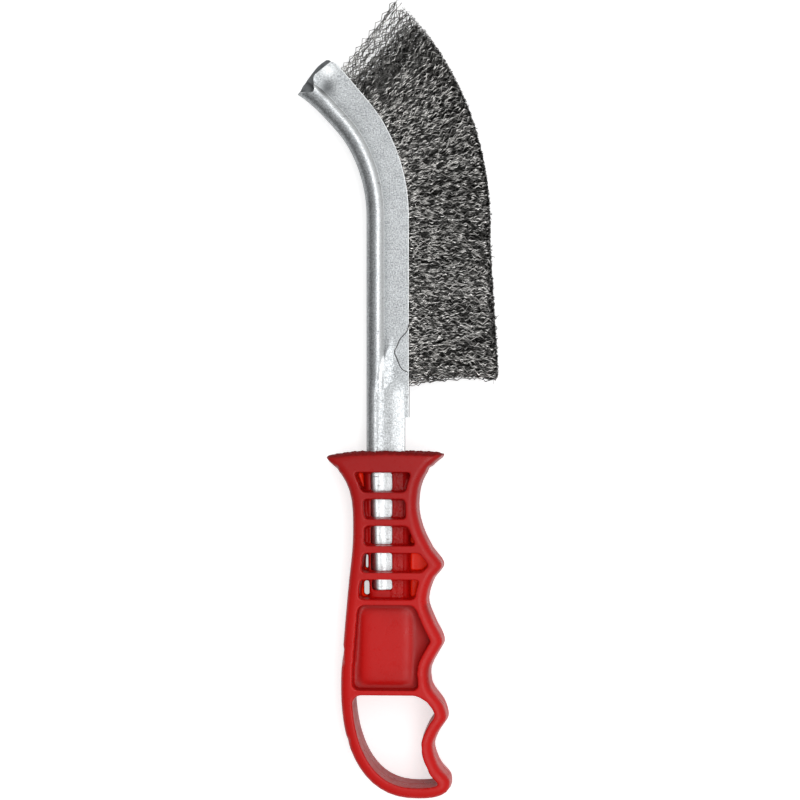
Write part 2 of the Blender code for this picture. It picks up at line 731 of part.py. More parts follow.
def make_slice(number, finish):
    """One slice of the fill: a length of backing with its wires."""
    shape = bmesh.new()
    first = fill_station((number - 1) / FILL_SLICES) + CLEARANCE / 2
    last = fill_station(number / FILL_SLICES) - CLEARANCE / 2
    rings = []
    for k in range(FILL_STRIPS + 1):
        along = first + (last - first) * k / FILL_STRIPS
        outer = add_ring(shape, [on_path(along, s, z) for s, z in backing_section(along)])
        bore = add_ring(shape, [on_path(along, s, z) for s, z in bore_section()])
        rings.append((along, outer, bore))
    for low, high in zip(rings, rings[1:]):
        bridge(shape, low[2], high[2])
        for k in range(len(low[1]) - 1):
            shape.faces.new((low[1][k], low[1][k + 1], high[1][k + 1], high[1][k]))
        add_strip_top(shape, (low[1][-1], low[1][0]), (high[1][-1], high[1][0]), low[0], high[0])
    for along, outer, bore in (rings[0], rings[-1]):
        section = [Vector((s, z, 0.0)) for s, z in backing_section(along)]
        hole = [Vector((s, z, 0.0)) for s, z in bore_section()]
        for triangle in tessellate_polygon([section, hole]):
            shape.faces.new([(outer + bore)[k] for k in triangle])
    return add_object(f"wire_fill_{number:02d}", shape, finish)


def make_core(finish):
    """The core wire in the bead, which the crimped wires are folded round."""
    first = fill_station(0.0) + CORE_SHORT
    last = fill_station(1.0) - CORE_SHORT
    stations = [first]
    for k in range(BEND_RINGS + 1):
        stations.append(STEM + (last - STEM) * k / BEND_RINGS)
    rings = []
    for along in stations:
        ring = []
        for k in range(CORE_SIDES):
            turn = 2 * math.pi * k / CORE_SIDES
            s = BEAD_RADIUS + CORE_RADIUS * math.cos(turn)
            ring.append(on_path(along, s, CORE_RADIUS * math.sin(turn)))
        rings.append(ring)
    shape = bmesh.new()
    add_loft(shape, rings)
    return add_object("core_wire", shape, finish)


def centre(pieces):
    """Hang every object on one empty that puts the middle of the brush over the origin."""
    corners = [vert.co for piece in pieces for vert in piece.data.vertices]
    low = Vector([min(corner[axis] for corner in corners) for axis in range(3)])
    high = Vector([max(corner[axis] for corner in corners) for axis in range(3)])
    empty = bpy.data.objects.new("brush", None)
    bpy.context.scene.collection.objects.link(empty)
    empty.location = (-(low.x + high.x) / 2, -(low.y + high.y) / 2, -low.z)
    for thing in bpy.data.objects:
        if thing is not empty:
            thing.parent = empty
    print("size in mm:", [round(1000 * side, 2) for side in high - low])
    print("moved by, in mm:", [round(1000 * step, 3) for step in empty.location])


def main():
    """Clear the scene and build the brush."""
    for thing in list(bpy.data.objects):
        bpy.data.objects.remove(thing)
    plastic = material("red_plastic", (0.42, 0.022, 0.018), 0.38, 0.0)
    steel = material("galvanised_steel", (0.62, 0.66, 0.69), 0.36, 1.0)
    core_steel = material("core_wire_steel", (0.45, 0.46, 0.47), 0.40, 1.0)
    wire = material("crimped_steel_wire", (0.28, 0.27, 0.26), 0.34, 1.0)
    pieces = [make_handle(plastic), make_holder(steel), make_core(core_steel)]
    for number in range(1, FILL_SLICES + 1):
        pieces.append(make_slice(number, wire))
    centre(pieces)


main()
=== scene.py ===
# %% [markdown]
# # A wire hand brush
#
# This lesson dresses a plain model of a wire hand brush. The plain model, the frame, holds the right
# sizes: a plastic handle, a folded steel holder, a core wire and nine slices of wire fill. Here each
# of them gets the surface of the real thing: a glossy red moulding with soft edges, a
# galvanised sheet bent by a press, and some thousands of thin crimped wires.
#
# All lengths are in metres. The brush lies on its side on the floor. +Y runs from the handle's heel
# to the brush head, +X to the side that the wires point to, and +Z up.

# %% Load the frame
import math

import bpy
import numpy as np
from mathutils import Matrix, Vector


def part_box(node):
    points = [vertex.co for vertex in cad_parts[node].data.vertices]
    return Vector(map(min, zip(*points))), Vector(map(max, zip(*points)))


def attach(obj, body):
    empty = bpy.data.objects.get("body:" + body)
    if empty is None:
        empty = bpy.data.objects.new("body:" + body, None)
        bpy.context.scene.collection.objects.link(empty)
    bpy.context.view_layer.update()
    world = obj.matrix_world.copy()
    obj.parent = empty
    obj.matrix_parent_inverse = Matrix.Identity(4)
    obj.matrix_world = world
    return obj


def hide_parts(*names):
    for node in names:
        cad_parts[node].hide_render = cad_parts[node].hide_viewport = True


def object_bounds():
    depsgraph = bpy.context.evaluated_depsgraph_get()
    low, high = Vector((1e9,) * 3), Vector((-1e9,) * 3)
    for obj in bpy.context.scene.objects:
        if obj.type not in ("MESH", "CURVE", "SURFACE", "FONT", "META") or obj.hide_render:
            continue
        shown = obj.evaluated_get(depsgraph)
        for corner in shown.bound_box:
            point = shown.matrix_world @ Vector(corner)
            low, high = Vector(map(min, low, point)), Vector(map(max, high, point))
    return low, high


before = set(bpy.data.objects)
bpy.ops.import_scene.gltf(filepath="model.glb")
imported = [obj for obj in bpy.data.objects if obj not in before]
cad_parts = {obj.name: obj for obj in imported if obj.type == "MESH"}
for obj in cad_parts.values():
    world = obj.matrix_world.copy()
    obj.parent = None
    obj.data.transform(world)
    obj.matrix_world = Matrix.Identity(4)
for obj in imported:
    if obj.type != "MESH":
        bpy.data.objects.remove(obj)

cad_low, cad_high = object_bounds()
bpy.ops.object.select_all(action="DESELECT")
print("CAD box in mm:", [round(1000 * side, 2) for side in cad_high - cad_low])

# %% [markdown]
# ## Where things are
#
# Everything hangs on three places that are read from the frame: the tang's axis, the top of the
# handle's collar and the middle of the thickness. The photograph shows the brush from straight
# above, so one number turns its pixels into metres. Marks such as nicks and scratches can then be
# placed by the pixel where they are seen.

# %% Places
COLLAR_REACH = 0.0195  # from the handle's left side to the tang's axis
PIXEL = 0.0003266
AXIS_PIXEL = 385.0  # column of the tang's axis
COLLAR_PIXEL = 450.0  # row of the collar's top

handle_low, handle_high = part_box("handle")
AXIS_X = handle_low.x + COLLAR_REACH
COLLAR_Y = handle_high.y
MIDDLE_Z = (handle_low.z + handle_high.z) / 2
HALF_THICK = (handle_high.z - handle_low.z) / 2


def at_pixel(across, down):
    """Place in the plane of the brush that a pixel of the photograph shows."""
    return AXIS_X + (across - AXIS_PIXEL) * PIXEL, COLLAR_Y + (COLLAR_PIXEL - down) * PIXEL


print("tang axis x, collar top y, middle z in mm:",
      [round(1000 * v, 2) for v in (AXIS_X, COLLAR_Y, MIDDLE_Z)])

# %% [markdown]
# ## Camera
#
# The photograph was taken with a long lens from almost straight above, a few degrees from the side
# of the wires: the right outer walls of the handle show as a thin fringe, and the left ones don't.
# A camera that is 0.7 m away and looks at the middle of the picture gives the same slight view.

# %% Camera
IMAGE_PIXELS = 800
CAMERA_DISTANCE = 0.70
CAMERA_LEAN = math.radians(3.6)
SCALE_HEIGHT = 0.003  # height above the middle plane where a pixel has its size

middle = at_pixel(IMAGE_PIXELS / 2, IMAGE_PIXELS / 2)
target = Vector((middle[0], middle[1], MIDDLE_Z + SCALE_HEIGHT))
offset = Vector((math.sin(CAMERA_LEAN), 0.0, math.cos(CAMERA_LEAN))) * CAMERA_DISTANCE
bpy.ops.object.camera_add(location=target + offset, rotation=(0.0, CAMERA_LEAN, 0.0))
camera = bpy.context.object
camera.data.sensor_width = 36.0
camera.data.lens = camera.data.sensor_width * CAMERA_DISTANCE / (IMAGE_PIXELS * PIXEL)
bpy.context.scene.camera = camera
bpy.context.scene.view_settings.view_transform = "Standard"
print("lens in mm:", round(camera.data.lens, 1))

# %% [markdown]
# ## Light and background
#
# The brush was photographed for a catalogue: a white background, a broad soft light overhead and
# darker walls at the sides. The walls matter, because they draw the dark band along the round back
# of the steel. The world gives that room: its level follows the direction across the brush, from the
# left wall over the ceiling to the right wall, and falls off towards both ends. Camera and
# transmission rays get plain white. For these and for glossy rays the floor's white paint also glows
# a little, so that it looks white and keeps a faint shadow.
#
# Nodes make the world and every finish. Their helpers take plain values or sockets that send them.

# %% Helpers for nodes
def put(tree, socket, value):
    """Give a socket a plain value, or join it to a socket that sends one."""
    if isinstance(value, bpy.types.NodeSocket):
        tree.links.new(value, socket)
    else:
        socket.default_value = value


def feed(tree, node, **values):
    """Give the inputs of a node their values."""
    for name, value in values.items():
        put(tree, node.inputs[name.replace("_", " ")], value)


def add_node(tree, kind, **values):
    """A shader node, with values for its settings or for the inputs of that name."""
    node = tree.nodes.new("ShaderNode" + kind)
    for name, value in values.items():
        if name in node.bl_rna.properties:
            setattr(node, name, value)
        else:
            feed(tree, node, **{name: value})
    return node


def maths(tree, operation, *values, clamp=False):
    """What a Math node makes of its values."""
    node = add_node(tree, "Math", operation=operation, use_clamp=clamp)
    for socket, value in zip(node.inputs, values):
        put(tree, socket, value)
    return node.outputs[0]


def map_range(tree, value, old, new=(0.0, 1.0), kind="LINEAR"):
    """A value carried from one range over to another."""
    node = add_node(tree, "MapRange", interpolation_type=kind, Value=value, From_Min=old[0],
                    From_Max=old[1], To_Min=new[0], To_Max=new[1])
    return node.outputs["Result"]


# %% World
# Direction across the brush in degrees from straight up, and the level of the room there
ROOM_LEVELS = ((-90, 0.22), (-55, 0.38), (-32, 0.62), (-18, 0.92), (-8, 1.05), (30, 1.05), (48, 0.84),
               (66, 0.70), (90, 1.05))
END_WALL = 0.80  # share of the level at both ends of the room
END_START = 0.45  # sine of the direction where the fall-off starts

world = bpy.data.worlds.new("studio")
bpy.context.scene.world = world
world.use_nodes = True
tree = world.node_tree
tree.nodes.clear()
way = add_node(tree, "TexCoord").outputs["Generated"]
axes = add_node(tree, "SeparateXYZ", Vector=way).outputs
across_angle = maths(tree, "ARCTAN2", axes["X"], axes["Z"])
left_wall, right_wall = ROOM_LEVELS[0][0], ROOM_LEVELS[-1][0]
across_share = map_range(tree, across_angle, (math.radians(left_wall), math.radians(right_wall)))
room = add_node(tree, "ValToRGB", Fac=across_share)
ramp = room.color_ramp
ramp.interpolation = "B_SPLINE"
while len(ramp.elements) < len(ROOM_LEVELS):
    ramp.elements.new(1.0)
for stop, (angle, tone) in zip(ramp.elements, ROOM_LEVELS):
    stop.position = (angle - left_wall) / (right_wall - left_wall)
    stop.color = (tone, tone, tone, 1.0)
along_size = maths(tree, "ABSOLUTE", axes["Y"])
end_level = map_range(tree, along_size, (END_START, 1.0), (1.0, END_WALL), "SMOOTHSTEP")
room_level = maths(tree, "MULTIPLY", room.outputs["Color"], end_level)
rays = add_node(tree, "LightPath").outputs
seen = maths(tree, "MAXIMUM", rays["Is Camera Ray"], rays["Is Transmission Ray"])
level = add_node(tree, "Mix", Factor=seen, A=room_level, B=1.0)
sky = add_node(tree, "Background", Strength=level.outputs["Result"])
add_node(tree, "OutputWorld", Surface=sky.outputs[0])
print("world: room levels", [tone for angle, tone in ROOM_LEVELS])

# %% Floor
FLOOR_RADIUS = 2.5
FLOOR_GAP = 0.0002
FLOOR_PAINT = 0.72
FLOOR_GLOW = 0.60
GLOSSY_SHARE = 0.35  # share of it for glossy rays, so that they see no more than white

bpy.ops.mesh.primitive_circle_add(vertices=96, radius=FLOOR_RADIUS, fill_type="NGON",
                                  location=(0.0, 0.0, cad_low.z - FLOOR_GAP))
floor = bpy.context.object
floor.name = "floor"
bpy.ops.object.mode_set(mode="EDIT")
bpy.ops.mesh.inset(thickness=FLOOR_RADIUS / 2)
bpy.ops.object.mode_set(mode="OBJECT")

paint = bpy.data.materials.new("white_floor")
paint.use_nodes = True
tree = paint.node_tree
tree.nodes.clear()
diffuse = add_node(tree, "BsdfDiffuse", Color=(FLOOR_PAINT, FLOOR_PAINT, FLOOR_PAINT, 1.0))
rays = add_node(tree, "LightPath").outputs
seen = maths(tree, "MULTIPLY", rays["Is Glossy Ray"], GLOSSY_SHARE)
for kind in ("Is Camera Ray", "Is Transmission Ray"):
    seen = maths(tree, "MAXIMUM", seen, rays[kind])
glow = add_node(tree, "Emission", Strength=maths(tree, "MULTIPLY", seen, FLOOR_GLOW))
both = add_node(tree, "AddShader")
put(tree, both.inputs[0], diffuse.outputs[0])
put(tree, both.inputs[1], glow.outputs[0])
add_node(tree, "OutputMaterial", Surface=both.outputs[0])
floor.data.materials.append(paint)
print("floor at z =", round(floor.location.z, 4))

# %% Softbox
SOFTBOX_HEIGHT = 0.95
SOFTBOX_SIZES = (0.32, 1.25)
SOFTBOX_POWER = 4.0
SOFTBOX_ASIDE = 0.215  # to the side that the wires point to

bpy.ops.object.light_add(type="AREA", location=(SOFTBOX_ASIDE, 0.0, SOFTBOX_HEIGHT))
softbox = bpy.context.object
softbox.name = "softbox"
softbox.data.shape = "RECTANGLE"
softbox.data.size, softbox.data.size_y = SOFTBOX_SIZES
softbox.data.energy = SOFTBOX_POWER
softbox.rotation_euler = (0.0, math.atan2(SOFTBOX_ASIDE, SOFTBOX_HEIGHT), 0.0)
print("softbox:", SOFTBOX_POWER, "W")

# %% [markdown]
# ## Effects that several finishes share
#
# A few effects turn up in more than one finish, so each is a node group that is made once: soft
# patches of colour and gloss, a fine grain, and scratches that run in one direction. They all read
# Object coordinates, so they stay on the piece when it moves. Noise is cloudy, so sharp specks and
# lines are cut out of it: they are where it passes a certain value.

# %% Helpers for node groups
METRE = 1000.0  # noise scales are given in waves for a millimetre


def new_group(name, inputs, *outputs):
    """An empty node group, with what it is given and where its results go."""
    group = bpy.data.node_groups.new(name, "ShaderNodeTree")
    for title, value in inputs.items():
        socket = group.interface.new_socket(title, in_out="INPUT", socket_type="NodeSocketFloat")
        socket.default_value = value
    for title in outputs:
        group.interface.new_socket(title, in_out="OUTPUT", socket_type="NodeSocketFloat")
    return group, group.nodes.new("NodeGroupInput").outputs, group.nodes.new("NodeGroupOutput").inputs


def object_place(tree):
    """The place on the piece itself."""
    return add_node(tree, "TexCoord").outputs["Object"]


def noise(group, given, place, **values):
    """Noise with the number of waves that a group is given."""
    scale = maths(group, "MULTIPLY", given["Waves"], METRE)
    return add_node(group, "TexNoise", Vector=place, Scale=scale, **values).outputs["Fac"]


def past(group, value, least, steepness):
    """0 up to a least value, and rising steeply to 1 past it."""
    above = maths(group, "SUBTRACT", value, least)
    return maths(group, "MULTIPLY", above, steepness, clamp=True)


# %% Soft patches and grain
# Soft patches: a cloudy value from Low to High. The middle range of the noise is spread over all of it
PATCHES, given, result = new_group("soft_patches", {"Waves": 0.1, "Low": 0.0, "High": 1.0}, "Value")
cloud = noise(PATCHES, given, object_place(PATCHES), Detail=3.0, Roughness=0.6)
put(PATCHES, result["Value"], map_range(PATCHES, cloud, (0.3, 0.7), (given["Low"], given["High"])))

# Fine grain: a bumpy height, and specks where the grain peaks
GRAIN, given, result = new_group("fine_grain", {"Waves": 2.0, "Specks": 0.7}, "Height", "Speck")
height = noise(GRAIN, given, object_place(GRAIN), Detail=2.0, Roughness=0.5)
put(GRAIN, result["Height"], height)
put(GRAIN, result["Speck"], past(GRAIN, height, least=given["Specks"], steepness=12.0))
print("groups:", PATCHES.name, "and", GRAIN.name)

# %% Scratches
# Thin lines that run along X, with a slight slant, in places that a coarser noise picks
SQUEEZE = (0.10, 1.0, 0.4)
SLANT = math.radians(6.0)
WORKED_WAVES = 0.16

SCRATCHES, given, result = new_group("scratches", {"Waves": 1.2, "Share": 0.6}, "Line")
place = object_place(SCRATCHES)
squeezed = add_node(SCRATCHES, "Mapping", Vector=place, Scale=SQUEEZE, Rotation=(0.0, 0.0, SLANT))
lines = noise(SCRATCHES, given, squeezed.outputs[0], Detail=4.0, Roughness=0.7)
where = add_node(SCRATCHES, "TexNoise", Vector=place, Scale=WORKED_WAVES * METRE, Detail=1.0)
sharp = past(SCRATCHES, lines, least=given["Share"], steepness=14.0)
worked = past(SCRATCHES, where.outputs["Fac"], least=0.44, steepness=9.0)
put(SCRATCHES, result["Line"], maths(SCRATCHES, "MULTIPLY", sharp, worked))
print("group:", SCRATCHES.name)


# %% Helpers for finishes
def use_group(tree, group, **values):
    """The outputs of a group that is placed in a material with its own values."""
    return add_node(tree, "Group", node_tree=group, **values).outputs


def patches(tree, waves, low=0.0, high=1.0):
    """Soft patches in a material."""
    return use_group(tree, PATCHES, Waves=waves, Low=low, High=high)["Value"]


def read_attribute(tree, name):
    """A number that is stored at the points of a mesh."""
    return add_node(tree, "Attribute", attribute_name=name).outputs["Fac"]


def mix_colour(tree, factor, first, second):
    """A colour between two, which are sockets or plain colours."""
    node = add_node(tree, "Mix", data_type="RGBA", Factor=factor)
    pair = [s for s in node.inputs if s.type == "RGBA"]
    for socket, colour in zip(pair, (first, second)):
        put(tree, socket, (*colour, 1.0) if isinstance(colour, tuple) else colour)
    return [s for s in node.outputs if s.type == "RGBA"][0]


def bump(tree, height, distance, **before):
    """A Bump node of a given depth, which can follow the Normal of another one."""
    node = add_node(tree, "Bump", Strength=1.0, Distance=distance, Height=height, **before)
    return node.outputs["Normal"]


def new_finish(name, **values):
    """A material with its node tree and its Principled shader."""
    made = bpy.data.materials.new(name)
    made.use_nodes = True
    shader = made.node_tree.nodes["Principled BSDF"]
    feed(made.node_tree, shader, **values)
    return made, made.node_tree, shader


# %% [markdown]
# ## The red plastic
#
# The handle is moulded in glossy red plastic, most likely polypropylene. Its red is deepest at the
# collar and fresher further down, with soft patches and a faint orange peel. The thin webs at half
# thickness let light through, and that light is painted: a brighter red and a faint glow.

# %% Red plastic
RED = (0.55, 0.005, 0.004)
RED_DEEP = (0.355, 0.004, 0.004)
# Colour of the painted shade in the recess and on the collar's torn top
RED_SHADE = (0.20, 0.002, 0.002)
# Painted light that shines through the thin webs: a brighter red and a faint glow
RED_LIT_THROUGH = (0.90, 0.016, 0.002)
PAINTED_GLOW_THROUGH = (0.14, 0.004, 0.0)
PAINTED_RED_SHADE = "deep"  # attribute: 1 where painted shade darkens the red most
DULL = "dull"  # its least roughness, where it is torn
THIN = "thin"  # 1 on the thin webs, which get painted light that shines through
WRINKLE = "wrinkle"  # and 1 where it has wrinkled on the steel
FRESH_RUN = 0.062  # length below the collar over which the red gets fresher
CLOUD_SHARE = 0.12  # share of soft patches in that change

RED_PLASTIC, tree, shader = new_finish("red_plastic", IOR=1.49, Specular_IOR_Level=0.22,
                                       Emission_Strength=1.0)
place = add_node(tree, "SeparateXYZ", Vector=object_place(tree)).outputs
fresh = map_range(tree, place["Y"], (COLLAR_Y, COLLAR_Y - FRESH_RUN), kind="SMOOTHSTEP")
fresh = maths(tree, "ADD", fresh, patches(tree, 0.06, -CLOUD_SHARE, CLOUD_SHARE), clamp=True)
red = mix_colour(tree, fresh, RED_DEEP, RED)
# Painted shade in the recess and on the collar's torn top
red = mix_colour(tree, read_attribute(tree, PAINTED_RED_SHADE), red, RED_SHADE)
thin = read_attribute(tree, THIN)
rough = maths(tree, "MAXIMUM", patches(tree, 0.35, 0.24, 0.40), read_attribute(tree, DULL))
grain = use_group(tree, GRAIN, Waves=1.4)["Height"]
blobs = use_group(tree, GRAIN, Waves=0.9)["Height"]
wrinkled = maths(tree, "MULTIPLY", read_attribute(tree, WRINKLE), blobs)
peel = bump(tree, grain, distance=0.00003)
# The thin webs get painted light that shines through them
feed(tree, shader, Base_Color=mix_colour(tree, thin, red, RED_LIT_THROUGH), Roughness=rough,
     Emission_Color=mix_colour(tree, thin, (0.0, 0.0, 0.0), PAINTED_GLOW_THROUGH),
     Normal=bump(tree, wrinkled, distance=0.00060, Normal=peel))
print("made", RED_PLASTIC.name)

# %% [markdown]
# ## The handle
#
# A moulding has no sharp edges: plastic flows into a mould whose corners are rounded, and it sinks a
# little as it cools. The frame's handle has the right form with hard edges. A copy of it is merged
# into one skin, cut up into small even cells by a voxel remesh, and smoothed, which rounds every
# edge alike. At the end a decimate step takes faces away where the surface is flat.

# %% Helpers for modelling
def only(piece):
    """Select one object alone, and make it the active one."""
    bpy.ops.object.select_all(action="DESELECT")
    piece.select_set(True)
    bpy.context.view_layer.objects.active = piece


def edit_all(piece):
    """Go into edit mode with all of a piece selected."""
    only(piece)
    bpy.ops.object.mode_set(mode="EDIT")
    bpy.ops.mesh.select_all(action="SELECT")


def add_piece(name, mesh):
    """A new object in the scene."""
    piece = bpy.data.objects.new(name, mesh)
    bpy.context.scene.collection.objects.link(piece)
    return piece


def apply_all(piece):
    """Apply every modifier of a piece."""
    only(piece)
    for step in list(piece.modifiers):
        bpy.ops.object.modifier_apply(modifier=step.name)


def smooth(piece, rounds, group=""):
    """Smooth a piece or one vertex group of it, and apply all modifiers."""
    soften = piece.modifiers.new("soften", "SMOOTH")
    soften.factor = 0.5
    soften.iterations = rounds
    soften.vertex_group = group
    apply_all(piece)


def vectors_of(items, name):
    """A vector of each item, such as a vertex's place, as an array."""
    flat = np.empty(len(items) * 3)
    items.foreach_get(name, flat)
    return flat.reshape(-1, 3)


def points_of(piece):
    """Where a piece's vertices are."""
    return vectors_of(piece.data.vertices, "co")


def normals_of(piece):
    """The normals at a piece's vertices."""
    return vectors_of(piece.data.vertex_normals, "vector")


def set_points(piece, points):
    """Move the vertices of a piece."""
    piece.data.vertices.foreach_set("co", points.ravel())
    piece.data.update()


def triangles_of(piece):
    """How many triangles a piece has."""
    piece.data.calc_loop_triangles()
    return len(piece.data.loop_triangles)


def soft_step(share):
    """A soft step from 0 to 1."""
    share = np.clip(share, 0.0, 1.0)
    return share * share * (3 - 2 * share)


def add_attribute(mesh, name, values):
    """A number for each point of a mesh, which a finish can read."""
    attribute = mesh.attributes.new(name, "FLOAT", "POINT")
    attribute.data.foreach_set("value", values.ravel().astype(np.float32))


def box_share(points, pixel_box, soft=2.0):
    """1 inside a box of pixels, with edges that soft."""
    left, right, top, bottom = pixel_box
    low_x, high_y = at_pixel(left, top)
    high_x, low_y = at_pixel(right, bottom)
    inner = np.minimum(np.minimum(points[:, 0] - low_x, high_x - points[:, 0]),
                       np.minimum(points[:, 1] - low_y, high_y - points[:, 1]))
    return soft_step(inner / (soft * PIXEL) + 0.5)


# %% Handle skin
MERGE = 0.000002  # points that are closer than this become one
SKIN_CELL = 0.00036
SKIN_ROUNDS = 7

handle = add_piece("handle_moulding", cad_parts["handle"].data.copy())
edit_all(handle)
bpy.ops.mesh.remove_doubles(threshold=MERGE)
bpy.ops.object.mode_set(mode="OBJECT")
cells = handle.modifiers.new("cells", "REMESH")
cells.mode = "VOXEL"
cells.voxel_size = SKIN_CELL
smooth(handle, SKIN_ROUNDS)
print("handle skin:", triangles_of(handle), "triangles")

# %% [markdown]
# ## Traces of moulding and use
#
# The pad swells out of the recess's floor without an edge, so that floor is smoothed many times
# more than the rest. A fine ridge runs along the walls where the mould's halves met, edges are
# nicked, and the collar's top is ragged where the plastic ended on the steel. The points of the
# skin are moved for that, because a bump in the finish wouldn't show in the outline.

# %% Soft pad
# Boxes are given in pixels: left, right, top and bottom
RECESS_BOX = (355.0, 431.0, 603.0, 690.0)
FLOOR_HEIGHTS = (0.0031, 0.0047)  # least and greatest height of its floor above the middle
FLOOR_LEVEL = 0.4  # least upright part of a normal on that floor
PAD_ROUNDS = 90

points, normals = points_of(handle), normals_of(handle)
reach = np.abs(points[:, 2] - MIDDLE_Z)
floor_points = (reach > FLOOR_HEIGHTS[0]) & (reach < FLOOR_HEIGHTS[1])
floor_points &= np.abs(normals[:, 2]) > FLOOR_LEVEL
chosen = np.flatnonzero(floor_points & (box_share(points, RECESS_BOX) > 0.5))
group = handle.vertex_groups.new(name="recess_floor")
group.add(chosen.tolist(), 1.0, "REPLACE")
smooth(handle, PAD_ROUNDS, group.name)
handle.vertex_groups.clear()
print("pad softened over", len(chosen), "points")

# %% Parting line
PARTING_RIDGE = 0.00010
PARTING_WIDTH = 0.00035
WALL_LEVEL = 0.5  # greatest upright part of a normal on a wall

points, normals = points_of(handle), normals_of(handle)
near = np.exp(-((points[:, 2] - MIDDLE_Z) / PARTING_WIDTH) ** 2)
push = np.where(np.abs(normals[:, 2]) < WALL_LEVEL, PARTING_RIDGE * near, 0.0)
points[:, :2] += normals[:, :2] * push[:, None]
set_points(handle, points)
print("ridge in mm:", round(1000 * push.max(), 3))

# %% Nicks and the torn collar
# Places in pixels where the edge is nicked
NICKS = ((345, 582), (343, 649), (343, 655), (344, 661), (350, 738), (427, 702), (420, 746), (426, 767),
         (338, 467), (430, 469))
NICK_DEPTH = 0.00040
NICK_SIZE = 0.00075
NICK_SQUEEZE = 0.7  # distances along the handle count less
NICK_LEVEL = 0.8  # greatest upright part of a normal where a nick cuts in
TORN_RUN = 0.0010  # the collar is ragged from twice this below its top
TORN_DEPTH = 0.00030
TORN_FACING = 0.2  # least part of a normal there that points up the handle
RIPPLES = (5200.0, 2300.0)  # fine and broad waves of the ragged top, in radians for a metre
SWAY = (3.0, 1500.0)  # how far the fine ones sway with height, and how fast

points, normals = points_of(handle), normals_of(handle)
for across, down in NICKS:
    x, y = at_pixel(across, down)
    far = np.hypot(points[:, 0] - x, (points[:, 1] - y) * NICK_SQUEEZE) / NICK_SIZE
    push = NICK_DEPTH * np.exp(-far ** 2) * (np.abs(normals[:, 2]) < NICK_LEVEL)
    points[:, :2] -= normals[:, :2] * push[:, None]
ripple = np.sin(points[:, 0] * RIPPLES[0] + SWAY[0] * np.sin(points[:, 2] * SWAY[1]))
ripple = ripple + np.sin(points[:, 0] * RIPPLES[1])
near_top = soft_step((points[:, 1] - COLLAR_Y + 2 * TORN_RUN) / TORN_RUN)
near_top = near_top * (normals[:, 1] > TORN_FACING)
points[:, 1] -= TORN_DEPTH * near_top * (0.5 + 0.25 * ripple)
set_points(handle, points)
print("nicks:", len(NICKS))

# %% Thinner skin
HANDLE_TRIANGLES = 185000

thinner = handle.modifiers.new("thinner", "DECIMATE")
thinner.ratio = min(1.0, HANDLE_TRIANGLES / triangles_of(handle))
apply_all(handle)
points = points_of(handle)
set_points(handle, np.clip(points, np.array(handle_low), np.array(handle_high)))
print("handle:", triangles_of(handle), "triangles")

# %% [markdown]
# ## What the finish has to know
#
# The same plastic gets painted shade in the recess, painted shade and a dull finish on the collar's
# torn top, painted light that shines through in the thin webs, and wrinkles in the sleeve round the
# tang. A finish can read numbers that are stored at the points of a mesh, so each of these is one
# attribute.

# %% Attributes and finish of the handle
PAD_BOX = (362.0, 413.0, 609.0, 685.0)
SLEEVE_BOX = (391.0, 404.0, 470.0, 600.0)
RIM_RUN = 0.0010  # depth below the rim over which the painted shade of the recess sets in
RECESS_PAINTED_SHADE = 0.42
FACING = 0.5  # part of a normal from which the torn top and the webs count
TORN_TURN = 0.3  # how much more of it lets the torn top count in full
WEB_TURN = 0.2
TORN_START = 0.0030  # distance below the collar's top where torn skin starts
TORN_SHADE_AND_DULL = 0.85  # how dark its painted shade is and how dull it is
SLEEVE_DEPTH = 0.0015  # depth below the rim where the sleeve starts
SLEEVE_WRINKLE = 0.8
FADE = 0.0005  # run over which torn skin and sleeve start
THIN_HALF = 0.0013  # half height of the layer that holds the webs
WEB_FADE = 0.3  # share of it over which they fade

normals = normals_of(handle)
reach = np.abs(points[:, 2] - MIDDLE_Z)
# Painted shade in the recess, away from the pad, and on the collar's torn top, which is also dull
recess = box_share(points, RECESS_BOX, soft=3.0) * (1 - box_share(points, PAD_BOX, soft=5.0))
recess = recess * soft_step((HALF_THICK - reach) / RIM_RUN)
torn = soft_step((normals[:, 1] - FACING) / TORN_TURN)
torn = torn * soft_step((points[:, 1] - COLLAR_Y + TORN_START) / FADE)
sleeve = box_share(points, SLEEVE_BOX) * soft_step((HALF_THICK - SLEEVE_DEPTH - reach) / FADE)
web = soft_step((THIN_HALF - reach) / (WEB_FADE * THIN_HALF))
web = web * soft_step((np.abs(normals[:, 2]) - FACING) / WEB_TURN)
add_attribute(handle.data, PAINTED_RED_SHADE, np.maximum(RECESS_PAINTED_SHADE * recess, TORN_SHADE_AND_DULL * torn))
add_attribute(handle.data, DULL, TORN_SHADE_AND_DULL * torn)
add_attribute(handle.data, THIN, web)
add_attribute(handle.data, WRINKLE, SLEEVE_WRINKLE * sleeve)
only(handle)
bpy.ops.object.shade_smooth()
handle.data.materials.clear()
handle.data.materials.append(RED_PLASTIC)
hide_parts("handle")
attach(handle, "root")
print("points of the webs:", np.count_nonzero(web))

# %% [markdown]
# ## Galvanised steel
#
# The holder is cut from zinc-coated sheet. Zinc is a soft, light grey metal with a slightly blue
# cast. It is neither a mirror nor dull: gloss and colour change in small patches, the surface has a
# fine grain and pits, and tools leave scratches across it.

# %% Galvanised steel
ZINC = (0.62, 0.645, 0.66)
ZINC_DULL = (0.125, 0.132, 0.137)
ZINC_INSIDE_SHADE = (0.17, 0.175, 0.18)
ZINC_MARK = (0.28, 0.29, 0.295)
ZINC_PAINTED_SHEEN = (0.90, 0.92, 0.925)
PAINTED_SHEEN = "painted_sheen"  # attribute: 1 where painted highlights and reflections brighten the sheet
SHADE = "shade"  # and 1 where painted shade darkens it
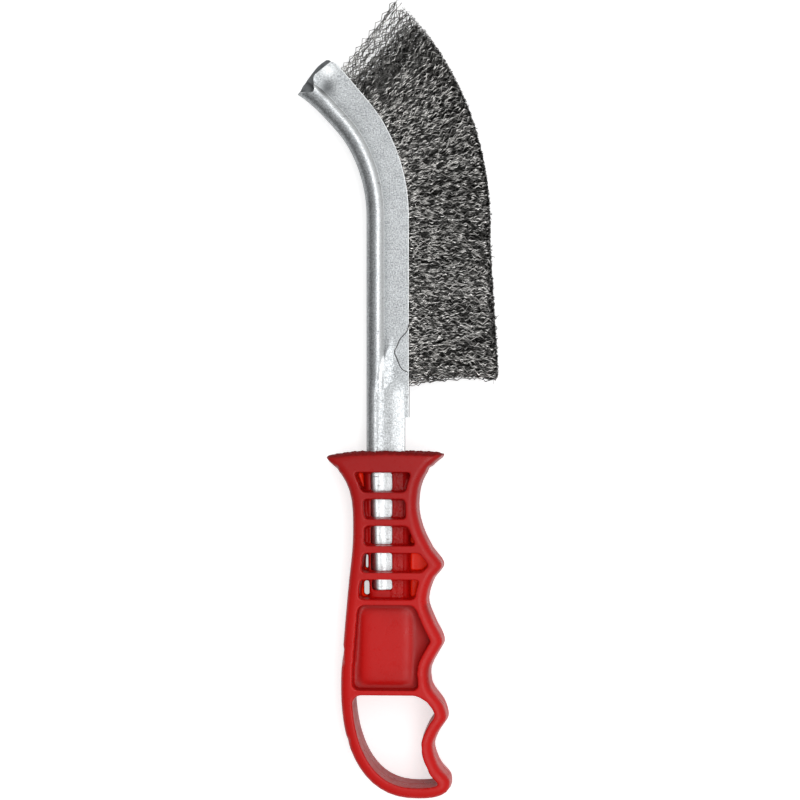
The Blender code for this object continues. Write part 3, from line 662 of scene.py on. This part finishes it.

GALVANISED, tree, shader = new_finish("galvanised_steel", Metallic=1.0)
grain = use_group(tree, GRAIN, Waves=2.6, Specks=0.64)
marks = use_group(tree, SCRATCHES, Waves=1.4, Share=0.62)["Line"]
both = maths(tree, "ADD", patches(tree, 0.3, 0.05, 0.20), patches(tree, 2.1, 0.0, 0.80), clamp=True)
zinc = mix_colour(tree, both, ZINC_DULL, ZINC)
# Painted sheen, which stands for highlights and reflections
zinc = mix_colour(tree, read_attribute(tree, PAINTED_SHEEN), zinc, ZINC_PAINTED_SHEEN)
# Painted shade in the crease, just beside it and in the dent of the tip
zinc = mix_colour(tree, read_attribute(tree, SHADE), zinc, ZINC_DULL)
zinc = mix_colour(tree, grain["Speck"], zinc, ZINC_MARK)
rough = bump(tree, grain["Height"], distance=0.00005)
feed(tree, shader, Base_Color=mix_colour(tree, marks, zinc, ZINC_MARK),
     Roughness=patches(tree, 0.9, 0.28, 0.42), Normal=bump(tree, marks, distance=-0.00003, Normal=rough))

# The inner side of the sheet gets a dark colour: painted shade
INSIDE_SHADE, tree, shader = new_finish("galvanised_inside_shade", Metallic=1.0)
feed(tree, shader, Base_Color=mix_colour(tree, patches(tree, 0.8), ZINC_INSIDE_SHADE, ZINC_DULL),
     Roughness=patches(tree, 0.9, 0.42, 0.60))
print("made", GALVANISED.name, "and", INSIDE_SHADE.name)

# %% [markdown]
# ## The holder
#
# On the real brush a press folds one strip of sheet lengthwise over the wires, bends it and crushes
# its lower end into a tang. The same is done here: a fine grid is the flat strip, and a function
# folds its points round the bead, lets the tang bulge, and carries all of it round the bend.
# Solidify then gives the sheet its thickness.

# %% Sizes of the folded sheet
# The strip is measured by its length above the collar and its reach from the back
SHEET = 0.0008
BEAD_RADIUS = 0.0034
FLANGE_HALF = 0.0024
CHANNEL_DEPTH = 0.0140
TIP_GROWTH = 0.0012  # how much deeper the channel is at the tip
GROWTH_POWER = 4.0
STEM = 0.0764  # straight length above the collar
BACK_RADIUS = 0.0464  # radius of the back's bend
TIP_ANGLE = math.radians(56.4)
TIP_RUN = 0.0120  # length over which the tip takes its form
TIP_RAKE = 0.0020  # how much further its back reaches than its open edge
TIP_CORNER = 0.0006  # radius of its open corner
TIP_NOTCH = 0.0038  # depth of the scoop in its upper half
TIP_FLARE = 0.0007  # how far its halves spread
LOWER_OUT = 0.0010  # how much longer the lower half is beside the back
TIP_BELLY = 0.0007  # how far its end is bowed out as well
BELLY_POWER = 1.6  # moves the middle of that bow towards the open edge
TIP_OUT = 0.0006  # how far the whole end reaches on
TIP_BACK = 0.0018  # how far the open corner of the upper half stands back
BACK_POWER = 1.5
NOTCH_RUN = 0.0050  # width of the scoop
UNBEND = 0.00033  # how far the last stretch of the bend stands off its circle
UNBEND_RUN = 0.0110  # half the length of that stretch
SHOULDER = 0.0105  # the tang is all tang up to here
SHOULDER_RAMP = 0.0003
BULGE_TOP = 0.0385  # and the channel is all channel from here
TANG_WIDTH = 0.0126
TANG_BEAD = 0.0028  # radius of the tang's back
TANG_LIFT = 0.0004  # flat part of the tang's back
TANG_CREASE = 0.00375  # distance from the back to the crease beside it
TANG_TOP = 0.00315  # half thickness of the tang beside the crease
TANG_FALL = 0.00013  # how much lower its middle is
TANG_FALL_END = 0.0060
TANG_SLOPE = 0.00038  # how much lower its open edge is again
TANG_SLOPE_START = 0.0085
TANG_SLOPE_POWER = 1.6
TANG_TAPER = 0.0020  # how much narrower its end is
TANG_END = COLLAR_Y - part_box("holder")[0].y
BEND_X = -TANG_WIDTH / 2 - BACK_RADIUS
HOLDER_END = STEM + BACK_RADIUS * TIP_ANGLE
print("tang end below the collar in mm:", round(1000 * TANG_END, 2))


# %% The bend
def on_path(along, reach, shift=0.0):
    """Place of points by their distance along the back and their reach from it."""
    left = (HOLDER_END - along) / UNBEND_RUN
    reach = reach + UNBEND * (1 - 2 * soft_step(left) + soft_step(left - 1))
    turn = np.maximum(along - STEM, 0.0) / BACK_RADIUS
    straight = along <= STEM
    turn = np.where(straight, 0.0, turn + shift / (BACK_RADIUS + reach))
    x = BEND_X + (BACK_RADIUS + reach) * np.cos(turn)
    y = np.where(straight, along + shift, STEM + (BACK_RADIUS + reach) * np.sin(turn))
    return AXIS_X + x, COLLAR_Y + y


def channel_depth(along):
    """Depth of the channel at a distance along its back."""
    bend = np.maximum(along - STEM, 0.0) / (HOLDER_END - STEM)
    return CHANNEL_DEPTH + TIP_GROWTH * bend ** GROWTH_POWER


print("channel depth at the tip in mm:", round(1000 * channel_depth(HOLDER_END), 2))

# %% The tang and its bulge
# Distance from the back to the crease beside the bead
BULGE_JOIN = BEAD_RADIUS + math.sqrt(BEAD_RADIUS ** 2 - FLANGE_HALF ** 2)
BULGE_START = 0.0084  # distance from the back to the tip of the bulge
BULGE_EDGE = 0.0094  # its right edge runs straight down from there
BULGE_TURN_SHARE = 0.62  # share of its length over which its crest comes to the crease
BULGE_RISE_SHARE = 0.50  # share over which it rises
BULGE_OPEN_SHARES = (0.55, 0.75)  # shares between which it spreads to the open edge
BULGE_LEFT = 0.0030  # width of its left slope at its tip
BULGE_CREST = 0.0006  # width of the crest's flat top
BEAD_SHARE = 0.42  # share of the half strip that goes round the bead
SLIGHT = 0.00008  # least width of the bulge's left slope


def tang_height(reach):
    """Half thickness of the tang at a distance from its back."""
    back = np.sqrt(np.maximum(TANG_BEAD ** 2 - (TANG_BEAD - reach) ** 2, 0.0))
    back = back + TANG_LIFT * np.minimum(reach / TANG_LIFT, 1.0)
    fall = TANG_FALL * soft_step((reach - TANG_CREASE) / (TANG_FALL_END - TANG_CREASE))
    open_run = np.clip((reach - TANG_SLOPE_START) / (TANG_WIDTH - TANG_SLOPE_START), 0.0, 1.0)
    plate = TANG_TOP - fall - TANG_SLOPE * open_run ** TANG_SLOPE_POWER
    return np.where(reach < TANG_CREASE, back, plate)


def bulge_share(along, reach):
    """How far the channel has turned into the tang: a slanting bulge that spreads downwards."""
    rise = np.clip((BULGE_TOP - along) / (BULGE_TOP - SHOULDER), 0.0, 1.0)
    turned = soft_step(rise / BULGE_TURN_SHARE)
    crest = BULGE_START + (TANG_CREASE - BULGE_START) * turned
    left = soft_step((reach - crest) / (BULGE_LEFT * (1 - turned) + SLIGHT) + 1)
    right = soft_step((BULGE_EDGE - reach) / (BULGE_EDGE - crest + BULGE_CREST))
    start, end = BULGE_OPEN_SHARES
    spread = soft_step((rise - start) / (end - start))
    share = soft_step(rise / BULGE_RISE_SHARE) * np.maximum(np.minimum(left, right), spread)
    return np.where(along <= SHOULDER - SHOULDER_RAMP, 1.0, share)


print("crease in mm from the back:", round(1000 * BULGE_JOIN, 2))


# %% How the press forms the sheet
def strip_reach(along, across):
    """Depth of the channel, and how far from the back each point of the strip comes to lie."""
    depth = np.where(along < SHOULDER, TANG_WIDTH, channel_depth(along))
    side = np.abs(across)
    turn = (math.pi - math.asin(FLANGE_HALF / BEAD_RADIUS)) * np.minimum(side / BEAD_SHARE, 1.0)
    run = np.clip((side - BEAD_SHARE) / (1 - BEAD_SHARE), 0.0, 1.0)
    reach = np.where(side < BEAD_SHARE, BEAD_RADIUS * (1 - np.cos(turn)),
                     BULGE_JOIN + (depth - BULGE_JOIN) * run)
    return depth, reach


def press(along, across):
    """Form the strip: across runs from -1 at the lower edge through 0 at the back to 1."""
    depth, reach = strip_reach(along, across)
    bead = np.sqrt(np.maximum(BEAD_RADIUS ** 2 - (reach - BEAD_RADIUS) ** 2, 0.0))
    channel = np.where(reach > BEAD_RADIUS, np.maximum(bead, FLANGE_HALF), bead)
    height = channel + bulge_share(along, reach) * (tang_height(reach) - channel)
    taper = np.where(along < 0, TANG_TAPER * -along / TANG_END, 0.0)
    reach = taper + reach * (1 - taper / (depth + taper))
    run_out = np.clip((along - HOLDER_END + TIP_RUN) / TIP_RUN, 0.0, 1.0)
    height = height + TIP_FLARE * run_out ** 2 * soft_step((reach - BEAD_RADIUS) / BEAD_RADIUS)
    near = soft_step(run_out)
    height = height * np.sign(across)
    rake = TIP_OUT + TIP_RAKE * (1 - reach / depth)
    turn = np.clip(reach - depth + TIP_CORNER, 0.0, TIP_CORNER)
    rake = rake - (TIP_CORNER - np.sqrt(TIP_CORNER ** 2 - turn ** 2))
    keep = 1 - soft_step((reach - BEAD_RADIUS) / NOTCH_RUN)
    upper = soft_step(height / SHEET) * np.minimum(reach / BEAD_RADIUS, 1.0)
    open_share = np.clip((reach - BEAD_RADIUS) / (depth - BEAD_RADIUS), 0.0, 1.0)
    belly = np.sin(math.pi * open_share ** BELLY_POWER)
    lower = soft_step(-height / SHEET) * np.minimum(reach / BEAD_RADIUS, 1.0)
    shift = near * (rake - (TIP_NOTCH * keep + TIP_BACK * open_share ** BACK_POWER) * upper
                    + (LOWER_OUT * (1 - open_share / 2) + TIP_BELLY * belly) * lower)
    x, y = on_path(along, reach, shift)
    return np.stack([x, y, MIDDLE_Z + height], axis=1)


# %% [markdown]
# ## Painted light and shade on the sheet
#
# The sheet's edges, the tang, its stretch in the windows, the inner flank of the bead and the end of
# the tip get a painted sheen, which stands for highlights and reflections. The crease beside the
# bead, the flange just beside it and a dent of the tip get painted shade. Two attributes, painted
# sheen and shade, tell the finish where.

# %% Painted sheen and shade of the sheet
# Shares of painted sheen, which stands for highlights and reflections; the first is on the tang
TANG_PAINTED_SHEEN = 0.10
HIDDEN_PAINTED_SHEEN = 0.40  # painted sheen on the stretch of the tang that shows in the windows
BEAD_PAINTED_SHEEN = 0.55  # painted reflection on the inner flank of the bead
FLANK_RISE = 1.6  # how steeply that painted reflection rises
CREASE_SHADE = 0.55
CREASE_HALF = 0.00014
DIP_SHADE = 0.30  # the flange just beside the crease
DIP_RUN = 0.0024
EDGE_SHEEN_RUN = 0.00025
PATCH_PAINTED_SHEEN = 0.6  # painted highlight at the end of the tip
TIP_PATCH = (328.0, 69.5, 7.0, 6.0)  # its middle and half sizes in pixels
TIP_DENT = (324.5, 87.0, 7.5, 8.0)  # and of the dent beside the crease, which gets painted shade
DENT_DEPTH = 0.00030


def patch_share(points, patch):
    """Soft round patch at a pixel of the photograph, on the upper half only."""
    across, down, half_wide, half_high = patch
    x, y = at_pixel(across, down)
    far = ((points[:, 0] - x) / (half_wide * PIXEL)) ** 2
    far = far + ((points[:, 1] - y) / (half_high * PIXEL)) ** 2
    return np.where(points[:, 2] > MIDDLE_Z, np.exp(-far), 0.0)


def painted_sheen_and_shade(along, across, points):
    """Painted sheen and painted shade of each point of the strip."""
    depth, reach = strip_reach(along, across)
    channel = soft_step((along - SHOULDER) / (BULGE_TOP - SHOULDER))
    flank = soft_step((reach - BEAD_RADIUS) / (BULGE_JOIN - BEAD_RADIUS) * FLANK_RISE)
    flank = flank * (reach < BULGE_JOIN)
    edge = soft_step((reach - depth + EDGE_SHEEN_RUN) / EDGE_SHEEN_RUN)
    painted_sheen = np.maximum.reduce([
        TANG_PAINTED_SHEEN * bulge_share(along, reach), BEAD_PAINTED_SHEEN * flank * channel, edge,
        PATCH_PAINTED_SHEEN * patch_share(points, TIP_PATCH), HIDDEN_PAINTED_SHEEN * (along < 0)])
    crease = np.exp(-((reach - BULGE_JOIN - CREASE_HALF) / CREASE_HALF) ** 2)
    dip = soft_step((BULGE_JOIN + DIP_RUN - reach) / DIP_RUN) * (reach > BULGE_JOIN)
    shade = channel * np.maximum(CREASE_SHADE * crease, DIP_SHADE * dip)
    shade = np.maximum(shade, patch_share(points, TIP_DENT))
    return painted_sheen, shade


# %% Fold the strip
STRIP_STEPS = 400
STRIP_ACROSS = 100  # one line of points falls on the crease beside the bead

bpy.ops.mesh.primitive_grid_add(x_subdivisions=STRIP_ACROSS, y_subdivisions=STRIP_STEPS, size=1.0)
holder = bpy.context.object
holder.name = "holder_sheet"
strip = points_of(holder)
across = 2 * strip[:, 0] / np.ptp(strip[:, 0])
along = -TANG_END + (HOLDER_END + TANG_END) * (strip[:, 1] / np.ptp(strip[:, 1]) + 0.5)
formed = press(along, across)
formed[:, 2] -= DENT_DEPTH * patch_share(formed, TIP_DENT)
set_points(holder, formed)
painted_sheen, shade = painted_sheen_and_shade(along, across, points_of(holder))
add_attribute(holder.data, PAINTED_SHEEN, painted_sheen)
add_attribute(holder.data, SHADE, shade)
edit_all(holder)
bpy.ops.mesh.normals_make_consistent(inside=False)
bpy.ops.object.mode_set(mode="OBJECT")
back_face = min(holder.data.polygons, key=lambda face: face.center.x)
print("back of the bead faces", [round(v, 2) for v in back_face.normal])
if back_face.normal.x > 0:
    holder.data.flip_normals()

# %% Thickness and finish of the sheet
holder.data.materials.append(GALVANISED)
holder.data.materials.append(INSIDE_SHADE)
wall = holder.modifiers.new("wall", "SOLIDIFY")
wall.thickness = SHEET
wall.offset = -1.0
wall.use_even_offset = False
wall.material_offset = 1
apply_all(holder)
bpy.ops.object.shade_smooth_by_angle(angle=math.radians(30.0))
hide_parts("holder")
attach(holder, "root")
print("holder:", triangles_of(holder), "triangles")

# %% [markdown]
# ## Wire
#
# The fill is steel wire, a third of a millimetre thick, drawn through a die and then crimped between
# toothed rollers. It is a little warm, and light and shade are painted into it: bright on the outer
# wires and the tips, painted shade deep in the fill, and painted glints that give each stretch its
# own tone.

# %% Wire finishes
# The crimped wire's tone runs from painted shade at WIRE_DARK to bright, slightly warm steel
WIRE_LIGHT = (0.97, 0.95, 0.92)
WIRE_DARK = (0.010, 0.010, 0.009)
CORE_LIGHT = (0.50, 0.51, 0.52)
CORE_DARK = (0.34, 0.345, 0.35)
PAINTED_LIGHT_TONE = "tone"  # attribute: painted shade at 0, painted light at 1


def make_wire_finish(name, light, dark, waves, toned=False):
    """Drawn steel wire, toned by soft patches or by an attribute that holds painted light and shade."""
    finish, tree, shader = new_finish(name, Metallic=1.0)
    marks = use_group(tree, SCRATCHES, Waves=2.0, Share=0.62)["Line"]
    tone = read_attribute(tree, PAINTED_LIGHT_TONE) if toned else patches(tree, waves)
    base = mix_colour(tree, tone, dark, light)
    feed(tree, shader, Base_Color=mix_colour(tree, marks, base, dark),
         Roughness=patches(tree, waves * 2, 0.20, 0.38))
    return finish


CRIMPED = make_wire_finish("crimped_wire", WIRE_LIGHT, WIRE_DARK, 0.8, toned=True)
CORE_STEEL = make_wire_finish("core_wire_steel", CORE_LIGHT, CORE_DARK, 0.3)
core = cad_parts["core_wire"]
core.data.materials.clear()
core.data.materials.append(CORE_STEEL)
print("core wire keeps its shape and gets", CORE_STEEL.name)

# %% [markdown]
# ## One wire, modelled by hand
#
# A wire is a triangle that is extruded again and again: a few dozen faces are enough, because some
# thousands of them follow. A wave of the crimp takes two rings, one on its crest and one in its
# trough.

# %% The pattern wire
WIRE_RADIUS = 0.000175
WIRE_STEPS = 22
RINGS_IN_WAVE = 2

bpy.ops.mesh.primitive_circle_add(vertices=3, radius=WIRE_RADIUS, fill_type="NGON")
pattern = bpy.context.object
edit_all(pattern)
for step in range(WIRE_STEPS):
    bpy.ops.mesh.extrude_region_move(TRANSFORM_OT_translate={"value": (0.0, 0.0, 1.0)})
bpy.ops.mesh.select_all(action="SELECT")
bpy.ops.mesh.normals_make_consistent(inside=False)
bpy.ops.object.mode_set(mode="OBJECT")
pattern_points = points_of(pattern)
pattern_faces = [list(face.vertices) for face in pattern.data.polygons]
pattern_ring = np.round(pattern_points[:, 2]).astype(int)
bpy.data.objects.remove(pattern)
print("pattern wire:", len(pattern_points), "points,", len(pattern_faces), "faces")

# %% [markdown]
# ## The fill
#
# The wires stand side by side in the slot between the flanges, several deep, and fan out towards
# their tips. After that the whole fill is trimmed, so the tips end on one line: an arc round the
# bend that runs on almost straight. Every wire has its own lean, crimp and phase, drawn from one
# seeded source of random numbers, and is a copy of the pattern wire that is bent to its own path.
# At both ends of the fill the wires stand apart, and light shows through between them.

# %% Trim line
TRIM_CENTRE = np.array(at_pixel(169.6, 223.8))
TRIM_RADIUS = 320.6 * PIXEL
TRIM_TURN = np.array(at_pixel(489.8, 240.0))  # here the arc ends and the straight line starts
TRIM_LOW = np.array(at_pixel(498.2, 372.0))


def trimmed_length(root, way):
    """Distance from a root along a direction to the trim line."""
    from_centre = root - TRIM_CENTRE
    half = np.sum(from_centre * way, axis=1)
    rest = np.sum(from_centre ** 2, axis=1) - TRIM_RADIUS ** 2
    to_arc = -half + np.sqrt(np.maximum(half ** 2 - rest, 0.0))
    line = TRIM_LOW - TRIM_TURN
    across = np.array([line[1], -line[0]])
    to_line = ((TRIM_TURN - root) @ across) / (way @ across)
    on_line = root[:, 1] + way[:, 1] * to_line < TRIM_TURN[1]
    return np.where(on_line, to_line, to_arc)


print("trim radius in mm:", round(1000 * TRIM_RADIUS, 1))

# %% Where the wires stand
SLICES = 9
WIRES_IN_SLICE = 760
FILL_START = 0.0209
FILL_ANGLE = math.radians(52.0)
EDGE_RADIUS = BACK_RADIUS + CHANNEL_DEPTH
STRAIGHT_RUN = STEM - FILL_START
FILL_RUN = STRAIGHT_RUN + EDGE_RADIUS * FILL_ANGLE
LOW_THIN = 0.070  # share of the fill over which it thins out at its low end
TOP_THIN = 0.200  # and at its top end
THINNEST = 0.055  # share of the wires that is left at the very end

source = np.random.default_rng(52)


def end_distance(share):
    """0 at both ends of the fill and 1 where it is as dense as it gets."""
    return np.clip(np.minimum(share / LOW_THIN, (1 - share) / TOP_THIN), 0.0, 1.0)


def wire_places(number):
    """Where the wires of a slice stand, as shares of the fill, fewer towards both ends."""
    count = WIRES_IN_SLICE
    shares = (number + (np.arange(count) + source.uniform(0.0, 1.0, count)) / count) / SLICES
    keep = THINNEST + (1 - THINNEST) * end_distance(shares) ** 2
    whole = np.floor(np.cumsum(keep) + 0.5)
    return shares[np.diff(whole, prepend=0.0) > 0]


print("length of the fill in mm:", round(1000 * FILL_RUN, 1))

# %% Which way the wires point
LEAN = math.radians(12.0)
END_LEAN_SHARE = 0.28  # share of that lean at both ends of the fill
LEAN_RUN_SHARE = 0.16  # share of the fill over which it grows
LOW_LEAN = math.radians(8.0)
TOP_LEAN = math.radians(-2.5)
LOW_RUN_SHARE = 0.10  # share of the fill that leans so at each end
LOWEST_REACH = 0.0290  # free length of the lowest wires
LOW_SCATTER = math.radians(1.2)


def wire_roots(number):
    """Share of the fill, root and direction of each wire of a slice."""
    share = wire_places(number)
    count = len(share)
    run = share * FILL_RUN
    along = np.where(run <= STRAIGHT_RUN, FILL_START + run,
                     STEM + (run - STRAIGHT_RUN) / EDGE_RADIUS * BACK_RADIUS)
    turn = np.maximum(along - STEM, 0.0) / BACK_RADIUS
    edge = np.stack(on_path(along, channel_depth(along)), axis=1)
    low = LOW_LEAN * soft_step(1 - share / LOW_RUN_SHARE)
    high = TOP_LEAN * soft_step((share - 1 + LOW_RUN_SHARE) / LOW_RUN_SHARE)
    calm = np.clip(np.minimum(share, 1 - share) / LEAN_RUN_SHARE, 0.0, 1.0)
    lean = LEAN * (END_LEAN_SHARE + (1 - END_LEAN_SHARE) * calm)
    angle = turn + low + high + source.normal(0.0, 1.0, count) * lean
    lowest = LOW_LEAN - run / LOWEST_REACH + source.normal(0.0, LOW_SCATTER, count)
    angle = np.maximum(angle, lowest)
    return share, edge, np.stack([np.cos(angle), np.sin(angle)], axis=1)


# %% How the wires are crimped
SLOT_HALF = 0.00125
ROOT_INSET = 0.0030
INSET_SCATTER = 0.5  # share of a wave by which the roots differ
LENGTH_SCATTER = 0.00100
FAN = 1.9  # how much further apart the layers are at the tips
FAN_SCATTER = 0.25
CURL = 0.0010
CRIMP_WAVE = 0.0034
WAVE_SPREAD = (0.88, 1.14)
CRIMP_HALF = 0.00070
CRIMP_SPREAD = (0.8, 1.2)
END_CRIMP = 0.85  # share of that height at both ends of the fill
CRIMP_TILT = math.radians(40.0)  # turn of a crimp's plane out of the fill's
TWIST = math.radians(24.0)  # and its further turn from ring to ring
JITTER = (0.72, 1.28)  # how uneven the crimps of one wire are
SLOT_CRIMP = 0.25  # share of a crimp's thickness that the slot leaves it
FREE_START = 0.001  # a crimp starts to get its full thickness this deep in the slot
FREE_RUN = 0.003
CRIMP_LIGHT = 0.4  # share of a crimp's height that counts as depth for the painted shade
DEPTH_POWER = 10.0  # how quickly painted shade darkens the wires below the outer ones
TIP_PAINTED_LIGHT = 0.35  # painted light on the wires' tips, which stand free
TIP_LIGHT = 0.12  # share of a wire over which that painted light sets in at its tip


def wire_lines(share, edge, way):
    """The rings of each wire, its layer in the slot, and each ring's painted light, dark deep in the
    fill.
    """
    count = len(share)
    aside = np.stack([-way[:, 1], way[:, 0]], axis=1)
    out = trimmed_length(edge, way) - np.abs(source.normal(0.0, LENGTH_SCATTER, count))
    inset = ROOT_INSET + source.uniform(0.0, INSET_SCATTER, count) * CRIMP_WAVE
    wave = CRIMP_WAVE * source.uniform(*WAVE_SPREAD, count)
    wave = np.maximum(wave, (inset + out) / (WIRE_STEPS / RINGS_IN_WAVE))
    layer = source.uniform(-1.0, 1.0, count)
    crimp = CRIMP_HALF * source.uniform(*CRIMP_SPREAD, count)
    crimp = crimp * (END_CRIMP + (1 - END_CRIMP) * end_distance(share))
    first = source.integers(0, RINGS_IN_WAVE, count)
    curl = source.normal(0.0, CURL, count)
    fan = FAN + source.normal(0.0, FAN_SCATTER, count)

    kind = (np.arange(WIRE_STEPS + 1) + first[:, None]) % RINGS_IN_WAVE
    gaps = source.uniform(*JITTER, kind.shape) * wave[:, None] / RINGS_IN_WAVE
    travel = np.cumsum(gaps, axis=1) - gaps[:, :1]
    travel = np.minimum(travel, (inset + out)[:, None])
    swing = np.where(kind == 1, -1.0, 1.0) * source.uniform(*JITTER, kind.shape)
    plane = np.cumsum(source.normal(0.0, TWIST, kind.shape), axis=1)
    plane = plane + source.normal(0.0, CRIMP_TILT, count)[:, None]
    away = travel - inset[:, None]
    open_share = np.clip(away / out[:, None], 0.0, 1.0)
    free = SLOT_CRIMP + (1 - SLOT_CRIMP) * soft_step((away + FREE_START) / FREE_RUN)
    side = swing * crimp[:, None] * np.cos(plane)
    side = side + curl[:, None] * open_share ** 2
    up = layer[:, None] * SLOT_HALF * (1 + fan[:, None] * open_share)
    up = up + swing * crimp[:, None] * np.sin(plane) * free
    full = SLOT_HALF * (1 + FAN * open_share)
    full = full + CRIMP_LIGHT * CRIMP_HALF * math.sin(CRIMP_TILT) * free
    # Painted shade deep below the outer wires, and painted light on the free tips
    painted_light = np.clip(np.abs(up) / full, 0.0, 1.0) ** DEPTH_POWER
    painted_light = np.maximum(painted_light, TIP_PAINTED_LIGHT * soft_step((open_share - 1) / TIP_LIGHT + 1))
    flat = edge[:, None, :] + way[:, None, :] * away[:, :, None] + aside[:, None, :] * side[:, :, None]
    return np.concatenate([flat, MIDDLE_Z + up[:, :, None]], axis=2), layer, painted_light


# %% Tones of the wires
DEEP_TONE = 0.015
TONE_POWER = 0.12
LOOSE_PAINTED_LIGHT = 0.50  # painted light on deep wires at both ends, where light gets between them
RING_TONE = 0.05  # least share of a wire's tone that a ring keeps without a painted glint
RING_DARK = 0.22  # share of the rings that get no painted glint
RING_SOFT = 0.40  # and share that get part of one


def wire_tones(share, painted_light):
    """Tone of each ring: painted shade by its depth, uneven from wire to wire, painted glints from ring
    to ring.
    """
    bright = source.uniform(0.0, 1.0, len(share)) ** TONE_POWER
    loose = LOOSE_PAINTED_LIGHT * (1 - end_distance(share))
    tone = bright[:, None] * (DEEP_TONE + (1 - DEEP_TONE) * np.maximum(painted_light, loose[:, None]))
    lit = soft_step((source.uniform(0.0, 1.0, painted_light.shape) - RING_DARK) / RING_SOFT)
    return tone * (RING_TONE + (1 - RING_TONE) * lit)


# %% Wires of one slice
def add_wires(name, points, faces, tone):
    """A piece of crimped wire, with a tone for each of its points."""
    mesh = bpy.data.meshes.new(name)
    mesh.from_pydata(points.tolist(), [], faces)
    mesh.update()
    add_attribute(mesh, PAINTED_LIGHT_TONE, tone)
    mesh.materials.append(CRIMPED)
    wires = add_piece(name, mesh)
    only(wires)
    bpy.ops.object.shade_smooth()
    return wires


def make_wires(number):
    """The wires of one slice: copies of the pattern wire, bent to their own paths."""
    share, edge, way = wire_roots(number)
    line, layer, painted_light = wire_lines(share, edge, way)
    count = len(share)
    sideways = np.stack([-way[:, 1], way[:, 0], np.zeros(count)], axis=1)[:, None, :]
    corner = pattern_points[:, 0:1] * sideways
    corner = corner + pattern_points[:, 1:2] * np.array([0.0, 0.0, 1.0])
    flat_side_out = -np.sign(layer)[:, None, None]
    points = (line[:, pattern_ring, :] + corner * flat_side_out).reshape(-1, 3)
    step = len(pattern_points)
    faces = [[v + k * step for v in face] for k in range(count) for face in pattern_faces]
    tone = wire_tones(share, painted_light)[:, pattern_ring]
    return add_wires(f"wires_{number + 1:02d}", points, faces, tone)


# %% The whole fill
fill_triangles = 0
for number in range(SLICES):
    wires = make_wires(number)
    points = points_of(wires)
    inside = 2 * MERGE
    set_points(wires, np.clip(points, np.array(cad_low) + inside, np.array(cad_high) - inside))
    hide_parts(f"wire_fill_{number + 1:02d}")
    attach(wires, "root")
    fill_triangles += triangles_of(wires)
print("fill:", fill_triangles, "triangles in", SLICES, "pieces")

# %% [markdown]
# ## A stray wire
#
# One wire has slipped out of the slot and lies in curls on the upper flange. It is one more copy of
# the pattern wire, bent along the pixels where the photograph shows it.

# %% Stray wire
STRAY_PIXELS = ((411, 320), (409, 323), (407, 332), (399.5, 339), (397, 347), (393.4, 351),
                (397.4, 360), (401, 369), (408, 372.5))
STRAY_TONE = 0.10

stops = np.array([at_pixel(across, down) for across, down in STRAY_PIXELS])
stretch = np.concatenate([[0.0], np.cumsum(np.linalg.norm(np.diff(stops, axis=0), axis=1))])
rings = np.linspace(0.0, stretch[-1], WIRE_STEPS + 1)
path = np.stack([np.interp(rings, stretch, stops[:, side]) for side in (0, 1)], axis=1)
path[1:-1] = (path[:-2] + 2 * path[1:-1] + path[2:]) / 4
way = np.gradient(path, axis=0)
way = way / np.linalg.norm(way, axis=1)[:, None]
aside = np.stack([-way[:, 1], way[:, 0]], axis=1)[pattern_ring]
points = np.empty_like(pattern_points)
points[:, :2] = path[pattern_ring] + pattern_points[:, 0:1] * aside
points[:, 2] = MIDDLE_Z + FLANGE_HALF + WIRE_RADIUS + pattern_points[:, 1]
stray = add_wires("stray_wire", points, pattern_faces, np.full(len(points), STRAY_TONE))
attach(stray, "root")
print("stray wire:", triangles_of(stray), "triangles")
